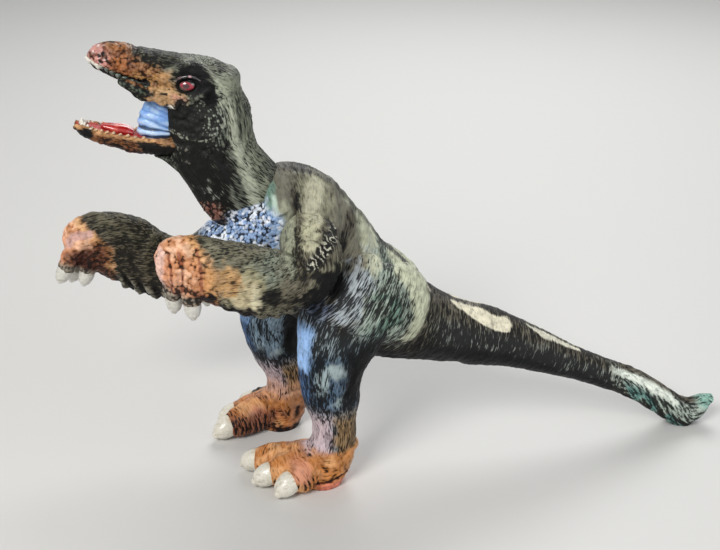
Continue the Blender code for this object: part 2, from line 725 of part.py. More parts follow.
def tongue_stations():
    """The tongue lies along the jaw's floor, just ahead of the web."""
    front = JAW_X - MEMBRANE_REACH
    return [(front - ahead, 0, z, half_width, half_height) for ahead, z, half_width, half_height in TONGUE]


def tooth_strip(name, lip, side_up, group=PARTS, grow=0.0):
    """A strip round the lip, half sunk in it, whose height rises and falls once for each tooth."""
    tip_x, tip_z = lip["tip"]
    stations = []
    for index in range(2 * TOOTH_COUNT + 1):
        share = index / TOOTH_COUNT - 1
        x = tip_x + lip["reach"] * abs(share) ** 1.6
        y = lip["half_width"] * math.sin(math.radians(90 * max(-1, min(1, 1.5 * share))))
        tall = TOOTH_HEIGHT if index % 2 else TOOTH_HEIGHT * 0.5
        z = tip_z + lip["slope"] * (x - tip_x) + side_up * tall
        stations.append((x, y, z, TOOTH_HALF_WIDTH, tall + TOOTH_HEIGHT * 0.4))
    return loft(name, stations, group, 4, grow, level=0, up=(0, 0, 1))


def make_head():
    head = loft("head_and_neck", NECK)
    root, axis = neck_plug()
    join(head, loft("skull_shape", SKULL, CUTTERS))
    join(head, loft("cheek_shape", CHEEKS, CUTTERS))
    join(head, loft("throat_shape", THROAT, CUTTERS))
    start, end = root - axis * NECK_PLUG_ROOT, root + axis * NECK_PLUG_LENGTH
    join(head, rod("neck_plug", start, end, NECK_PLUG_RADIUS))
    cut(head, jaw_slot(), membrane_pocket())
    reach = PIN_HALF_LENGTH + GAP
    cut(head, along_y("pin_bore_head", -reach, reach, JAW_X, JAW_Z, PIN_RADIUS + GAP, segments=TURNED_STEPS))
    cut(head, tooth_strip("upper_teeth_groove", UPPER_LIP, -1, CUTTERS, GAP))
    for side, sign in SIDES:
        centre = (EYE_X, sign * EYE_Y, EYE_Z)
        cut(head, ball(f"{side}_eye_socket", centre, EYE_RADIUS + GAP))
        paint(ball(f"{side}_eye", centre, EYE_RADIUS, PARTS), EYE_RED)
    paint(head, SKIN)
    paint(tooth_strip("upper_teeth", UPPER_LIP, -1), TOOTH_WHITE)
    pin = (-PIN_HALF_LENGTH, PIN_HALF_LENGTH, JAW_X, JAW_Z, PIN_RADIUS)
    paint(along_y("jaw_hinge_pin", *pin, PARTS, TURNED_STEPS), STEEL)


def make_jaw(pivot):
    jaw = loft("lower_jaw", JAW)
    half = JAW_KNUCKLE_HALF_WIDTH
    join(jaw, along_y("jaw_knuckle", -half, half, JAW_X, JAW_Z, JAW_KNUCKLE_RADIUS))
    cut(jaw, along_y("pin_bore_jaw", -2 * half, 2 * half, JAW_X, JAW_Z, PIN_RADIUS + GAP, segments=TURNED_STEPS))
    cut(jaw, loft("tongue_bed", tongue_stations(), CUTTERS, 8, GAP))
    cut(jaw, loft("membrane_bed", membrane_stations(), CUTTERS, 8, GAP))
    cut(jaw, tooth_strip("lower_teeth_groove", LOWER_LIP, 1, CUTTERS, GAP))
    tongue = loft("tongue", tongue_stations(), PARTS, 8)
    web = loft("mouth_membrane", membrane_stations(), PARTS, 8)
    teeth = tooth_strip("lower_teeth", LOWER_LIP, 1)
    finishes = (JAW_PAINT, MOUTH_RED, MOUTH_BLUE, TOOTH_WHITE)
    for thing, finish in zip((jaw, tongue, web, teeth), finishes):
        paint(thing, finish)
        hang(thing, pivot)


def build_figure():
    clear_scene()
    make_collection(PARTS)
    make_collection(CUTTERS, hidden=True)
    figure = add_empty("figure", (SHIFT_X, SHIFT_Y, 0))
    sockets = make_leg("left", -1, LEFT_LEG, LEFT_TOES)
    sockets += make_leg("right", 1, RIGHT_LEG, RIGHT_TOES)
    make_torso(sockets)
    make_tail()
    make_head()
    make_jaw(add_empty("jaw_pivot", (JAW_X, 0, JAW_Z), figure))
    arms = (
        (LEFT_UPPER_ARM, LEFT_FOREARM, LEFT_FINGERS, (LEFT_HAND_ROWS, ())),
        (RIGHT_UPPER_ARM, RIGHT_FOREARM, RIGHT_FINGERS, (RIGHT_HAND_ROWS, RIGHT_LOCKS)),
    )
    for (side, sign), arm in zip(SIDES, arms):
        pivot = add_empty(f"{side}_shoulder_pivot", (SHOULDER_X, 0, SHOULDER_Z), figure)
        make_arm(side, sign, *arm, pivot)


build_figure()
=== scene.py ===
import math

import bpy
import numpy as np
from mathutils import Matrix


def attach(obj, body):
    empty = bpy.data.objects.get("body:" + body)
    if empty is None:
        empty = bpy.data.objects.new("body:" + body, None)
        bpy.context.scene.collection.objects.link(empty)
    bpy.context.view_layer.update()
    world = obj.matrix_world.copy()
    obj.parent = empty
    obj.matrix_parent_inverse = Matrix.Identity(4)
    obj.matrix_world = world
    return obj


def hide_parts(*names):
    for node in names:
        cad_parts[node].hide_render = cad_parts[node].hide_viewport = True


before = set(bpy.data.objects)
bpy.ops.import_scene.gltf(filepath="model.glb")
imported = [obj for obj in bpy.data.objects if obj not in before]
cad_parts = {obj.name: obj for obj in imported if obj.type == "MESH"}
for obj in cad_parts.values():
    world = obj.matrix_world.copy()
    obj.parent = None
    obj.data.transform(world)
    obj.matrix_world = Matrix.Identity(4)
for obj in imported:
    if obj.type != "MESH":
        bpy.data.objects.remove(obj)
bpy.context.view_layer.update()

# The table and the studio: a pale level floor, one large soft lamp from the upper left, a weaker one
# from the right and one from behind. The camera looks down at the near side, as in the photo.

MM = 0.001
TO_FRAME = np.array((-38.17, 1.24, 0.0))  # from the figure's drawing to the shared frame, in mm


class Wire:
    """One socket of a node tree, on which ordinary arithmetic adds Math nodes."""

    def __init__(self, tree, socket=None):
        self.tree = tree
        self.socket = socket

    def node(self, kind, settings=None, inputs=None, output=0):
        """Adds a node: its type, its settings, then its sockets' values or links."""
        made = self.tree.nodes.new(kind)
        for key, value in (settings or {}).items():
            setattr(made, key, value)
        for key, value in (inputs or {}).items():
            if isinstance(value, Wire):
                self.tree.links.new(value.socket, made.inputs[key])
            else:
                made.inputs[key].default_value = value
        return Wire(self.tree, made.outputs[output])

    def calc(self, operation, first, second):
        """One Math node on two wires or numbers."""
        return self.node("ShaderNodeMath", {"operation": operation}, {0: first, 1: second})

    def __add__(self, other):
        return self.calc("ADD", self, other)

    def __radd__(self, other):
        return self.calc("ADD", other, self)

    def __sub__(self, other):
        return self.calc("SUBTRACT", self, other)

    def __rsub__(self, other):
        return self.calc("SUBTRACT", other, self)

    def __mul__(self, other):
        return self.calc("MULTIPLY", self, other)

    def __rmul__(self, other):
        return self.calc("MULTIPLY", other, self)

    def step(self, low, high):
        """Rises smoothly from 0 at low to 1 at high."""
        return self.node("ShaderNodeMapRange", {"interpolation_type": "SMOOTHSTEP"},
                         {"Value": self, "From Min": low, "From Max": high})

    def noise(self, where, scale, detail=2.0):
        """Noise from 0 to 1 over a place."""
        return self.node("ShaderNodeTexNoise", None, {"Vector": where, "Scale": scale, "Detail": detail})

    def place(self):
        """The point's own place on the object, in metres."""
        return self.node("ShaderNodeTexCoord", output="Object")

    def attribute(self, name, output):
        """A value that the surface carries."""
        return self.node("ShaderNodeAttribute", {"attribute_name": name}, output=output)

    def blend(self, factor, first, second, kind="MIX"):
        """Mixes two colours by a factor."""
        return self.node("ShaderNodeMix", {"data_type": "RGBA", "blend_type": kind},
                         {0: factor, 6: first, 7: second}, 2)

    def feed(self, shader, **sockets):
        """Links wires to a shader's sockets; an underscore in a name stands for a space."""
        for name, wire in sockets.items():
            self.tree.links.new(wire.socket, shader.inputs[name.replace("_", " ")])


def pale_floor():
    """A level sheet of one even pale colour, 3 m to each side, on which the figure's shadow falls."""
    reach = 3.0
    mesh = bpy.data.meshes.new("floor")
    corners = [(-reach, -reach, 0), (reach, -reach, 0), (reach, reach, 0), (-reach, reach, 0)]
    mesh.from_pydata(corners, [], [(0, 1, 2, 3)])
    floor = bpy.data.objects.new("floor", mesh)
    bpy.context.scene.collection.objects.link(floor)
    finish = bpy.data.materials.new("floor_paper")
    finish.use_nodes = True
    shader = finish.node_tree.nodes["Principled BSDF"]
    shader.inputs["Base Color"].default_value = (0.66, 0.655, 0.64, 1)
    shader.inputs["Roughness"].default_value = 0.55
    mesh.materials.append(finish)


def soft_lamp(name, place, aim, size, watts, tone=(1, 1, 1)):
    """A square area lamp at a place in mm that faces a point in mm."""
    light = bpy.data.lights.new(name, "AREA")
    light.size = size
    light.energy = watts
    light.color = tone
    lamp = bpy.data.objects.new(name, light)
    bpy.context.scene.collection.objects.link(lamp)
    lamp.location = [value * MM for value in place]
    direction = np.array(aim, float) - np.array(place, float)
    flat = math.hypot(direction[0], direction[1])
    lamp.rotation_euler = (math.atan2(flat, -direction[2]), 0, math.atan2(-direction[0], direction[1]))


pale_floor()
soft_lamp("key_lamp", (-420, -520, 620), (0, 0, 60), 0.34, 5.6, (1.0, 0.98, 0.95))
soft_lamp("side_lamp", (560, -420, 300), (0, 0, 60), 0.5, 1.4, (0.93, 0.96, 1.0))
soft_lamp("back_lamp", (150, 520, 520), (0, 0, 70), 0.4, 2.6)

world = bpy.data.worlds.new("studio_air")
bpy.context.scene.world = world
world.use_nodes = True
world.node_tree.nodes.clear()
air = Wire(world.node_tree)
SKY, SKY_LIGHT, SKY_SEEN = (0.93, 0.94, 0.95, 1), 0.28, 0.88  # seen by the camera and in reflections
seen = air.node("ShaderNodeLightPath", output="Is Camera Ray")
for ray in ("Is Glossy Ray", "Is Transmission Ray"):
    seen = air.calc("MAXIMUM", seen, air.node("ShaderNodeLightPath", output=ray))
sky = air.node("ShaderNodeBackground", None,
               {"Color": SKY, "Strength": SKY_LIGHT + (SKY_SEEN - SKY_LIGHT) * seen})
air.feed(world.node_tree.nodes.new("ShaderNodeOutputWorld"), Surface=sky)

CAMERA_AT = (-17.5, -327.8, 213.5)  # in the drawing, fitted to the photo's perspective
CAMERA_DOWN, CAMERA_ASIDE = 24.82, -7.5  # degrees below level, and to the right
view = bpy.data.cameras.new("camera")
view.lens = 60
view.sensor_width = 36
view.clip_start = 0.01
camera = bpy.data.objects.new("camera", view)
bpy.context.scene.collection.objects.link(camera)
camera.location = (np.array(CAMERA_AT) + TO_FRAME) * MM
camera.rotation_euler = (math.radians(90 - CAMERA_DOWN), 0, math.radians(CAMERA_ASIDE))
bpy.context.scene.camera = camera
bpy.context.scene.view_settings.view_transform = "Standard"

# The torso and the tail: hollow castings in soft plastic, joined at a seam behind the hips.
# Feather locks are moulded in, a dark wash lies in the grooves and pale paint is brushed on.

# A limb's table has rows along its middle line, in mm: x, y, z, half its width, half its height.
TRUNK = [
    (-24.8, 0, 73.5, 3, 2.5), (-21, 0, 73, 8.5, 6.2), (-14, 0, 73.5, 12, 11.5), (-6, 0, 75.5, 14.4, 17.5),
    (1.7, 0, 75.8, 15.6, 21.5), (9.4, 0, 71.2, 16, 22.3), (16, 0, 65.3, 15.8, 21.7),
    (21.8, 0, 59.2, 15.4, 20), (28.3, 0, 53.7, 14.6, 18.2), (37.5, 0, 47.9, 13, 15),
    (46.6, 0, 43, 11.2, 11.6), (56.5, 0, 39.6, 9.8, 10), (64.3, 0, 37.6, 9, 9.8),
    (73.8, 0, 34.6, 7.9, 8.2), (84.3, 0, 30.3, 6.7, 6.8), (94.8, 0, 25.6, 5.5, 5.4),
    (106, 0, 20.6, 4.8, 4.9), (115.6, 0, 16.2, 4.6, 4.9), (123, 0, 11.4, 4.6, 5),
    (129, 0, 6.9, 4.6, 5), (135, 0, 3.5, 4.4, 4.9), (139.5, 0, 5.4, 3.8, 4.2), (142.9, 0, 7.6, 2, 2),
]
TRUNK_UP = (0.22, 0, 0.9755)  # the upright of every section, which leans towards the tail
TAIL_SEAM_ROW = 9.6  # between two rows of the table, just behind the hips
SHOULDER = (9.0, 79.0)  # x and z of the axis on which the arms turn
SHOULDER_FACE = 14.2  # how far out the arms' inner faces lie
ARM_SWEEP = 20.0  # the radius that an arm's shoulder sweeps
FACE_GAP = 0.35  # between the trunk's skin and an arm's inner face
FLOOR_GAP = 0.05  # between a skin and the table


def ease(value, low=0.0, high=1.0):
    """Rises from 0 at low to 1 at high as 3t²-2t³."""
    t = np.clip((value - low) / (high - low), 0, 1)
    return t * t * (3 - 2 * t)


def smooth_rows(table, where):
    """Rows between a table's rows: the cubic whose slope at a row is half the step across it."""
    table = np.asarray(table, float)
    padded = np.vstack((2 * table[0] - table[1], table, 2 * table[-1] - table[-2]))
    row = np.clip(where.astype(int), 0, len(table) - 2)
    t = (where - row)[:, None]
    a, b, c, d = (padded[row + step] for step in range(4))
    return (2 * b + (c - a) * t + (2 * a - 5 * b + 4 * c - d) * t**2 + (3 * b - a - 3 * c + d) * t**3) / 2


def lengths_along(rows):
    """The length along a curve up to each of its rows."""
    return np.cumsum(np.r_[0, np.linalg.norm(np.diff(rows[:, :3], axis=0), axis=1)])


def even_rows(table, count, first=0.0, last=None):
    """Rows at even steps of length along a table's smooth curve, measured over 1200 fine rows."""
    last = len(table) - 1 if last is None else last
    where = np.linspace(first, last, 1200)
    length = lengths_along(smooth_rows(table, where))
    return smooth_rows(table, np.interp(np.linspace(0, length[-1], count), length, where))


def unit(vectors):
    """Each vector over its own length."""
    return vectors / np.maximum(np.linalg.norm(vectors, axis=-1, keepdims=True), 1e-9)


def axes(rows, lateral=(0, 1, 0), up=None):
    """The three directions at each row: along the curve, up, which is along x lateral, and side."""
    along = unit(np.gradient(rows[:, :3], axis=0))
    upward = np.tile(up, (len(rows), 1)) if up else unit(np.cross(along, lateral))
    return along, upward, unit(np.cross(upward, along))


def ring_grid(rows, sides, lateral=(0, 1, 0), up=None):
    """Point (i, j) = middle i + side·half width·cos(turn j) + up·half height·sin(turn j)."""
    _, upward, side = axes(rows, lateral, up)
    turn = np.linspace(0, 2 * np.pi, sides, endpoint=False)
    across = side[:, None] * (rows[:, 3, None] * np.cos(turn))[..., None]
    across = across + upward[:, None] * (rows[:, 4, None] * np.sin(turn))[..., None]
    return rows[:, None, :3] + across


def close_ends(grid, bulge=(0.3, 0.3)):
    """Adds rings that shrink as a quarter ellipse past each end of a grid, down to one point."""
    for end, size in zip((0, -1), bulge):
        middle = grid[end].mean(axis=0)
        inward = grid[1 if end == 0 else -2].mean(axis=0)
        reach = np.linalg.norm(grid[end] - middle, axis=1).mean() * size
        outward = unit(middle - inward) * reach
        turns = np.radians((25, 48, 68, 82))
        rings = [middle + (grid[end] - middle) * math.cos(t) + outward * math.sin(t) for t in turns]
        tip = np.repeat((middle + outward)[None], grid.shape[1], axis=0)
        rings = np.array(rings + [tip])
        grid = np.vstack((rings[::-1], grid)) if end == 0 else np.vstack((grid, rings))
    return grid


def grid_faces(rings, sides):
    """Quads between neighbouring rings, closed round the sides; the end rings are one point each."""
    ring, side = np.meshgrid(np.arange(rings - 1), np.arange(sides), indexing="ij")
    after = (side + 1) % sides

    def number(ring, side):
        """A point's number: 0 at the first end, then ring by ring, and the highest at the last."""
        inner = (ring - 1) * sides + 1 + side
        return np.where(ring == 0, 0, np.where(ring == rings - 1, (rings - 2) * sides + 1, inner))

    quads = [number(ring, side), number(ring, after), number(ring + 1, after), number(ring + 1, side)]
    return np.stack(quads, axis=-1).reshape(-1, 4)


def grid_points(grid):
    """The points of a closed grid, with each end ring as one point."""
    return np.vstack((grid[0, :1], grid[1:-1].reshape(-1, 3), grid[-1, :1]))


def build_mesh(name, points, faces):
    """Puts points in mm and quads into a mesh in the frame; a corner used twice leaves a triangle."""
    faces = np.asarray(faces)
    fourth = np.ones(len(faces), bool)
    for step in range(4):
        same = faces[:, step] == faces[:, (step + 1) % 4]
        fourth &= ~same
        faces[same] = np.roll(faces[same], -step - 1, axis=1)
    corners = np.concatenate([faces[fourth].ravel(), faces[~fourth][:, :3].ravel()])
    sizes = np.concatenate([np.full(fourth.sum(), 4), np.full((~fourth).sum(), 3)])
    mesh = bpy.data.meshes.new(name)
    mesh.vertices.add(len(points))
    mesh.vertices.foreach_set("co", ((points + TO_FRAME) * MM).ravel())
    mesh.loops.add(len(corners))
    mesh.loops.foreach_set("vertex_index", corners)
    mesh.polygons.add(len(sizes))
    mesh.polygons.foreach_set("loop_start", np.r_[0, np.cumsum(sizes)[:-1]])
    mesh.update(calc_edges=True)
    mesh.shade_smooth()
    return mesh


def facing(points, faces):
    """The normal at each point: the sum of the normals of the quads round it."""
    a, b, c, d = (points[faces[:, step]] for step in range(4))
    flat = np.cross(c - a, d - b)
    total = np.zeros_like(points)
    for axis in range(3):
        for step in range(4):
            total[:, axis] += np.bincount(faces[:, step], flat[:, axis], len(points))
    return unit(total)


RANDOM_CELLS = 4096


def cell_number(cell):
    """A number below 4096 for each whole-numbered cell, unlike its neighbours'."""
    mixed = (cell[:, 0] * 73856093) ^ (cell[:, 1] * 19349663) ^ (cell[:, 2] * 83492791)
    return mixed & (RANDOM_CELLS - 1)


def mottle(spot, seed):
    """Smooth random heights from -1 to 1: seeded values at whole-numbered corners, eased between."""
    table = np.random.default_rng(seed).uniform(-1, 1, RANDOM_CELLS)
    cell = np.floor(spot).astype(np.int64)
    t = ease(spot - cell)
    total = np.zeros(len(spot))
    for corner in np.ndindex(2, 2, 2):
        total += table[cell_number(cell + corner)] * np.prod(np.where(corner, t, 1 - t), axis=1)
    return total


def lie_of(points, table, lateral=(0, 1, 0), up=None):
    """A limb's own coordinates: s along its curve, a sideways and b upward from it, all in mm.

    near is the offset over the limb's half sizes: 1 on its skin, more outside it. What lies past an
    end of the curve counts in it a little.
    """
    rows = even_rows(table, 220)
    along, upward, side = axes(rows, lateral, up)
    gaps = (rows[:, :3] ** 2).sum(axis=1) - 2 * points @ rows[:, :3].T
    nearest = gaps.argmin(axis=1)
    offset = points - rows[nearest, :3]
    past = (offset * along[nearest]).sum(axis=1)
    a = (offset * side[nearest]).sum(axis=1)
    b = (offset * upward[nearest]).sum(axis=1)
    near = np.sqrt((a / rows[nearest, 3]) ** 2 + (b / rows[nearest, 4]) ** 2 + (past / 4.0) ** 2 * 0.05)
    return np.stack((lengths_along(rows)[nearest] + past, a, b), axis=1), near


def upness(lie):
    """How far up a point lies round a limb, from its own coordinates: 1 on top, -1 below."""
    return lie[:, 2] / np.maximum(np.hypot(lie[:, 1], lie[:, 2]), 1)


def ridged(flow, width, seed):
    """Low ridges between sharp grooves, 0 to 1, each some strokes wide and as drawn out as they are."""
    return np.minimum(np.abs(mottle(flow / width, seed)) * 2.4, 1) ** 0.7


def sprayed(points, x, z, wide, tall, turn=0.0, soft=0.5, ragged=0.0):
    """A soft-edged oval of spray in the side view, turned by some degrees; ragged shifts its edge."""
    c = math.cos(math.radians(turn))
    s = math.sin(math.radians(turn))
    dx = points[:, 0] - x
    dz = points[:, 2] - z
    out = np.hypot((dx * c + dz * s) / wide, (dz * c - dx * s) / tall) + ragged
    return 1 - ease(out, 1 - soft, 1 + soft)


def brushed(points, route, width, soft=0.4, ragged=0.0, thin_start=1.0, thin_end=1.0):
    """A painted stroke along a route in the side view: 1 on it, fading to 0 round half its width off.

    Its width goes from the share thin_start at its start to full in its middle and thin_end at its end.
    """
    steps = 60
    fine = smooth_rows(np.asarray(route, float), np.linspace(0, len(route) - 1, steps))
    flat = points[:, (0, 2)]
    nearest = ((fine**2).sum(axis=1) - 2 * flat @ fine.T).argmin(axis=1)
    gap = np.linalg.norm(flat - fine[nearest], axis=1)
    half = width / 2 * np.interp(nearest / (steps - 1), (0, 0.45, 1), (thin_start, 1, thin_end))
    return 1 - ease(gap / half + ragged, 1 - soft, 1 + soft)


def welts(points, soft, *strokes):
    """Welts along routes: the sum of each stroke times its height in mm, below 0 for a groove."""
    return sum(height * brushed(points, route, width, soft) for route, width, height in strokes)


def tint(code):
    """A colour written as six hexadecimal digits, as linear red, green and blue."""
    value = np.array([int(code[i:i + 2], 16) / 255 for i in (0, 2, 4)])
    return np.where(value <= 0.04045, value / 12.92, ((value + 0.055) / 1.055) ** 2.4)


class Paint:
    """The paint on a piece: at each point a colour and its cover, the share of the dark wash it hides."""

    def __init__(self, points, colour, cover):
        self.points = points
        self.coat = np.tile(tint(colour), (len(points), 1))
        self.cover = np.zeros(len(points)) + cover

    def brush(self, colour, cover, amount):
        """Lays a colour on and brings the cover to its own, both by an amount at each point."""
        amount = np.clip(amount, 0, 1)
        self.coat = self.coat + (tint(colour) - self.coat) * amount[:, None]
        self.cover = self.cover + (cover - self.cover) * amount

    def spray(self, colour, cover, x, z, wide, tall, turn=0.0, soft=0.5, ragged=0.0, amount=1.0):
        """Lays a colour on by an amount of sprayed."""
        self.brush(colour, cover, sprayed(self.points, x, z, wide, tall, turn, soft, ragged) * amount)

    def stroke(self, colour, cover, route, width, soft=0.4, ragged=0.0, amount=1.0, **thin):
        """Lays a colour on by an amount of brushed."""
        self.brush(colour, cover, brushed(self.points, route, width, soft, ragged, **thin) * amount)


def new_finish(name):
    """A material, its one shader, and a wire to add its nodes with."""
    finish = bpy.data.materials.new(name)
    finish.use_nodes = True
    return finish, finish.node_tree.nodes["Principled BSDF"], Wire(finish.node_tree)


def painted_plastic(name, pebble=1.4, gloss=0.44, depth=0.2, wash=0.95):
    """Paint over moulded soft plastic: a coat dry-brushed over its own near-black wash.

    The strokes are a noise in the piece's flow, whose unit is one stroke, and turn into round scales,
    pebble mm wide, where the piece is scaly. The coat lies where they are over a level that falls as the
    cover rises: cover 0 leaves the wash bare and 1 hides it. They also raise the skin.
    """
    black, black_wash, dusty = (0, 0, 0, 1), (0.003, 0.003, 0.0035, 1), (0.66, 0.65, 0.58, 1)
    finish, shader, bench = new_finish(name)
    coat = bench.attribute("coat", "Color")
    flow = bench.attribute("flow", "Vector")
    cover = bench.attribute("cover", "Fac")
    scaly = bench.attribute("scaly", "Fac")
    strokes = 0.75 * bench.noise(flow, 1.3, 4.0) + 0.25 * bench.noise(flow, 0.35, 2.0)
    spot = bench.node("ShaderNodeVectorMath", {"operation": "SCALE"},
                      {0: bench.place(), "Scale": 1 / (pebble * MM)})
    grit = bench.noise(spot, 2.3, 2.0)
    tone = bench.noise(spot, 0.55, 3.0)
    bent = bench.node("ShaderNodeVectorMath", {"operation": "ADD"},
                      {0: spot, 1: bench.blend(0.3, black, grit)})
    scales = 0.78 - 0.62 * bench.node("ShaderNodeTexVoronoi", None, {"Vector": bent, "Scale": 1.0})
    height = strokes + (scales + 0.25 * (grit - 0.5) - strokes) * scaly
    level = 0.7 - 0.4 * cover
    shown = height.step(level - 0.05, level + 0.05)
    proud = height.step(level + 0.03, level + 0.2)
    dark = bench.blend(wash, coat, black_wash)
    pale = bench.blend(0.45 * (1 - tone.step(0.3, 0.6)), coat, dark)
    pale = bench.blend(0.08 * proud, bench.blend(0.32 * proud, pale, coat, "ADD"), dusty)
    bench.feed(shader, Base_Color=bench.blend(shown, dark, pale), Roughness=gloss + 0.12 * (grit - shown))
    bench.feed(shader, Normal=bench.node(
        "ShaderNodeBump", None, {"Strength": 0.9, "Distance": depth * MM, "Height": height * 2.5}))
    shader.inputs["Specular IOR Level"].default_value = 0.14
    return finish


def skin_piece(name, points, faces, paint, flow, scaly, finish, body, slot, *nodes):
    """Makes a finished painted piece: mesh, paint, flow and finish, hung on its body's empty, with the CAD
    pieces it stands for hidden.
    """
    mesh = build_mesh(name, points, faces)
    colour = mesh.attributes.new("coat", "FLOAT_COLOR", "POINT")
    colour.data.foreach_set("color", np.c_[np.clip(paint.coat, 0, 1), np.ones(len(points))].ravel())
    mesh.attributes.new("flow", "FLOAT_VECTOR", "POINT").data.foreach_set("vector", flow.ravel())
    for key, values in (("cover", paint.cover), ("scaly", scaly + np.zeros(len(points)))):
        mesh.attributes.new(key, "FLOAT", "POINT").data.foreach_set("value", np.clip(values, 0, 1))
    mesh.materials.append(finish)
    piece = bpy.data.objects.new(name, mesh)
    bpy.context.scene.collection.objects.link(piece)
    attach(piece, body)
    if nodes:
        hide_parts(*nodes)


def limb(table, rings=70, sides=64, bulge=(0.3, 0.3), first=0.0, last=None, **lean):
    """A closed tube along a table's curve, as points and quads."""
    grid = close_ends(ring_grid(even_rows(table, rings, first, last), sides, **lean), bulge)
    return grid_points(grid), grid_faces(len(grid), sides)


def melt(shapes, voxel, cutters=(), rounds=5):
    """One skin over overlapping closed shapes, as points in mm and quads.

    The shapes are laid in one mesh and remeshed in small cubes, the cutters are taken out of it, and
    the steps that the cubes leave are smoothed away.
    """
    counts = np.cumsum([0] + [len(shape[0]) for shape in shapes])
    faces = np.vstack([shape[1] + count for shape, count in zip(shapes, counts)])
    things = []
    for shape in [(np.vstack([points for points, _ in shapes]), faces), *cutters]:
        things.append(bpy.data.objects.new("melting", build_mesh("melting", *shape)))
        bpy.context.scene.collection.objects.link(things[-1])
    thing = things[0]

    def remesh():
        modifier = thing.modifiers.new("melt", "REMESH")
        modifier.mode, modifier.voxel_size = "VOXEL", voxel * MM

    remesh()
    for cutter in things[1:]:
        cut = thing.modifiers.new("cut", "BOOLEAN")
        cut.operation, cut.solver, cut.object = "DIFFERENCE", "EXACT", cutter
    if cutters:
        remesh()
    calm = thing.modifiers.new("calm", "SMOOTH")
    calm.factor, calm.iterations = 0.5, rounds
    bpy.context.view_layer.update()
    made = thing.evaluated_get(bpy.context.evaluated_depsgraph_get()).to_mesh()
    flat = np.empty(len(made.vertices) * 3)
    made.vertices.foreach_get("co", flat)
    corners = np.empty(len(made.loops), np.int32)
    made.loops.foreach_get("vertex_index", corners)
    for extra in things:
        bpy.data.objects.remove(extra)
    return flat.reshape(-1, 3) / MM - TO_FRAME, corners.reshape(-1, 4)


trunk_rows = even_rows(TRUNK, 220)
FEATHERS_FROM = np.interp(106, trunk_rows[:, 0], lengths_along(trunk_rows))  # the strokes turn here


def trunk_flow(lie):
    """The trunk's strokes lie round the body, bowed backward, and then along the last of the tail.

    One stroke is 0.5 mm across and 3 mm long; past the turn they also lean downward.
    """
    past, aside, above = lie[:, 0] - FEATHERS_FROM, lie[:, 1], lie[:, 2]
    turned = ease(past, -3, 5)
    above = above + 0.42 * np.maximum(past, 0)
    return np.stack(((past + above**2 / 60 * (1 - turned)) / (0.5 + 3.5 * turned),
                     aside / (3.2 - 2.5 * turned), above / (3.2 - 2.5 * turned)), axis=1)


def trunk_relief(points, lie, flow):
    """How far the trunk's skin stands out, in mm: fine ridges, broad lumps, and welts and grooves."""
    x = points[:, 0]
    tail = ease(x, 46, 75)
    rise = 0.22 * (ridged(flow, 2.0, 11) - 0.6) + (0.3 - 0.18 * tail) * mottle(points / 5.0, 12)
    rise += (0.16 - 0.1 * tail) * mottle(points / 1.6, 14)
    # the humps of the back, each at x, with its reach and its height
    ridge = ease(upness(lie), 0.2, 0.9)
    for middle, reach, height in ((1.5, 3.5, 1.6), (16.8, 1.8, 0.8), (23.0, 5.0, 1.2)):
        rise += height * ridge * np.exp(-((x - middle) / reach) ** 2)
    # the bands of plumage down the flank, then the grooves between them and under the arm
    rise += welts(
        points, 0.7,
        (((2.7, 90), (1.6, 83), (2.5, 77), (5.0, 70)), 3.0, 0.7),
        (((-1.0, 92), (-1.4, 84), (-0.4, 76)), 2.4, 0.5),
        (((12.5, 95), (11.0, 88), (9.6, 81)), 5.6, 0.6),
        (((25.0, 85), (27.6, 80), (28.4, 74), (27.2, 69), (24.0, 64)), 5.5, 0.5),
        (((37.0, 68), (40.8, 63), (42.0, 57.5), (40.6, 51)), 4.6, 0.6),
    )
    rise += welts(
        points, 0.6,
        (((16.4, 88.5), (16.0, 86), (14.2, 83)), 1.6, -0.5),
        (((22.0, 86), (24.0, 80), (24.2, 74), (22.2, 69)), 1.6, -0.5),
        (((44.6, 63), (45.8, 58), (44.8, 51)), 1.6, -0.5),
        (((-3.2, 92), (-3.6, 84), (-2.6, 75)), 1.3, -0.5),
        (((6.4, 92), (6.2, 84), (7.2, 76)), 1.3, -0.5),
        (((10, 74.2), (15, 70.4), (20.6, 66.4)), 5.0, -1.3),
    )
    return rise + ease(x, 106, 116) * 0.55 * (ridged(flow, 2.6, 15) - 0.5)


def blue_pebbles(paint, where, blots):
    """The chest's blue paint with white on its pebbles, by an amount at each point."""
    paint.brush("86a2cb", 0.74, where)
    white = ease(mottle(paint.points / 0.9, 26) + 0.6 * blots, -0.1, 0.2)
    paint.brush("e1e7ef", 0.84, where * white * 0.9)


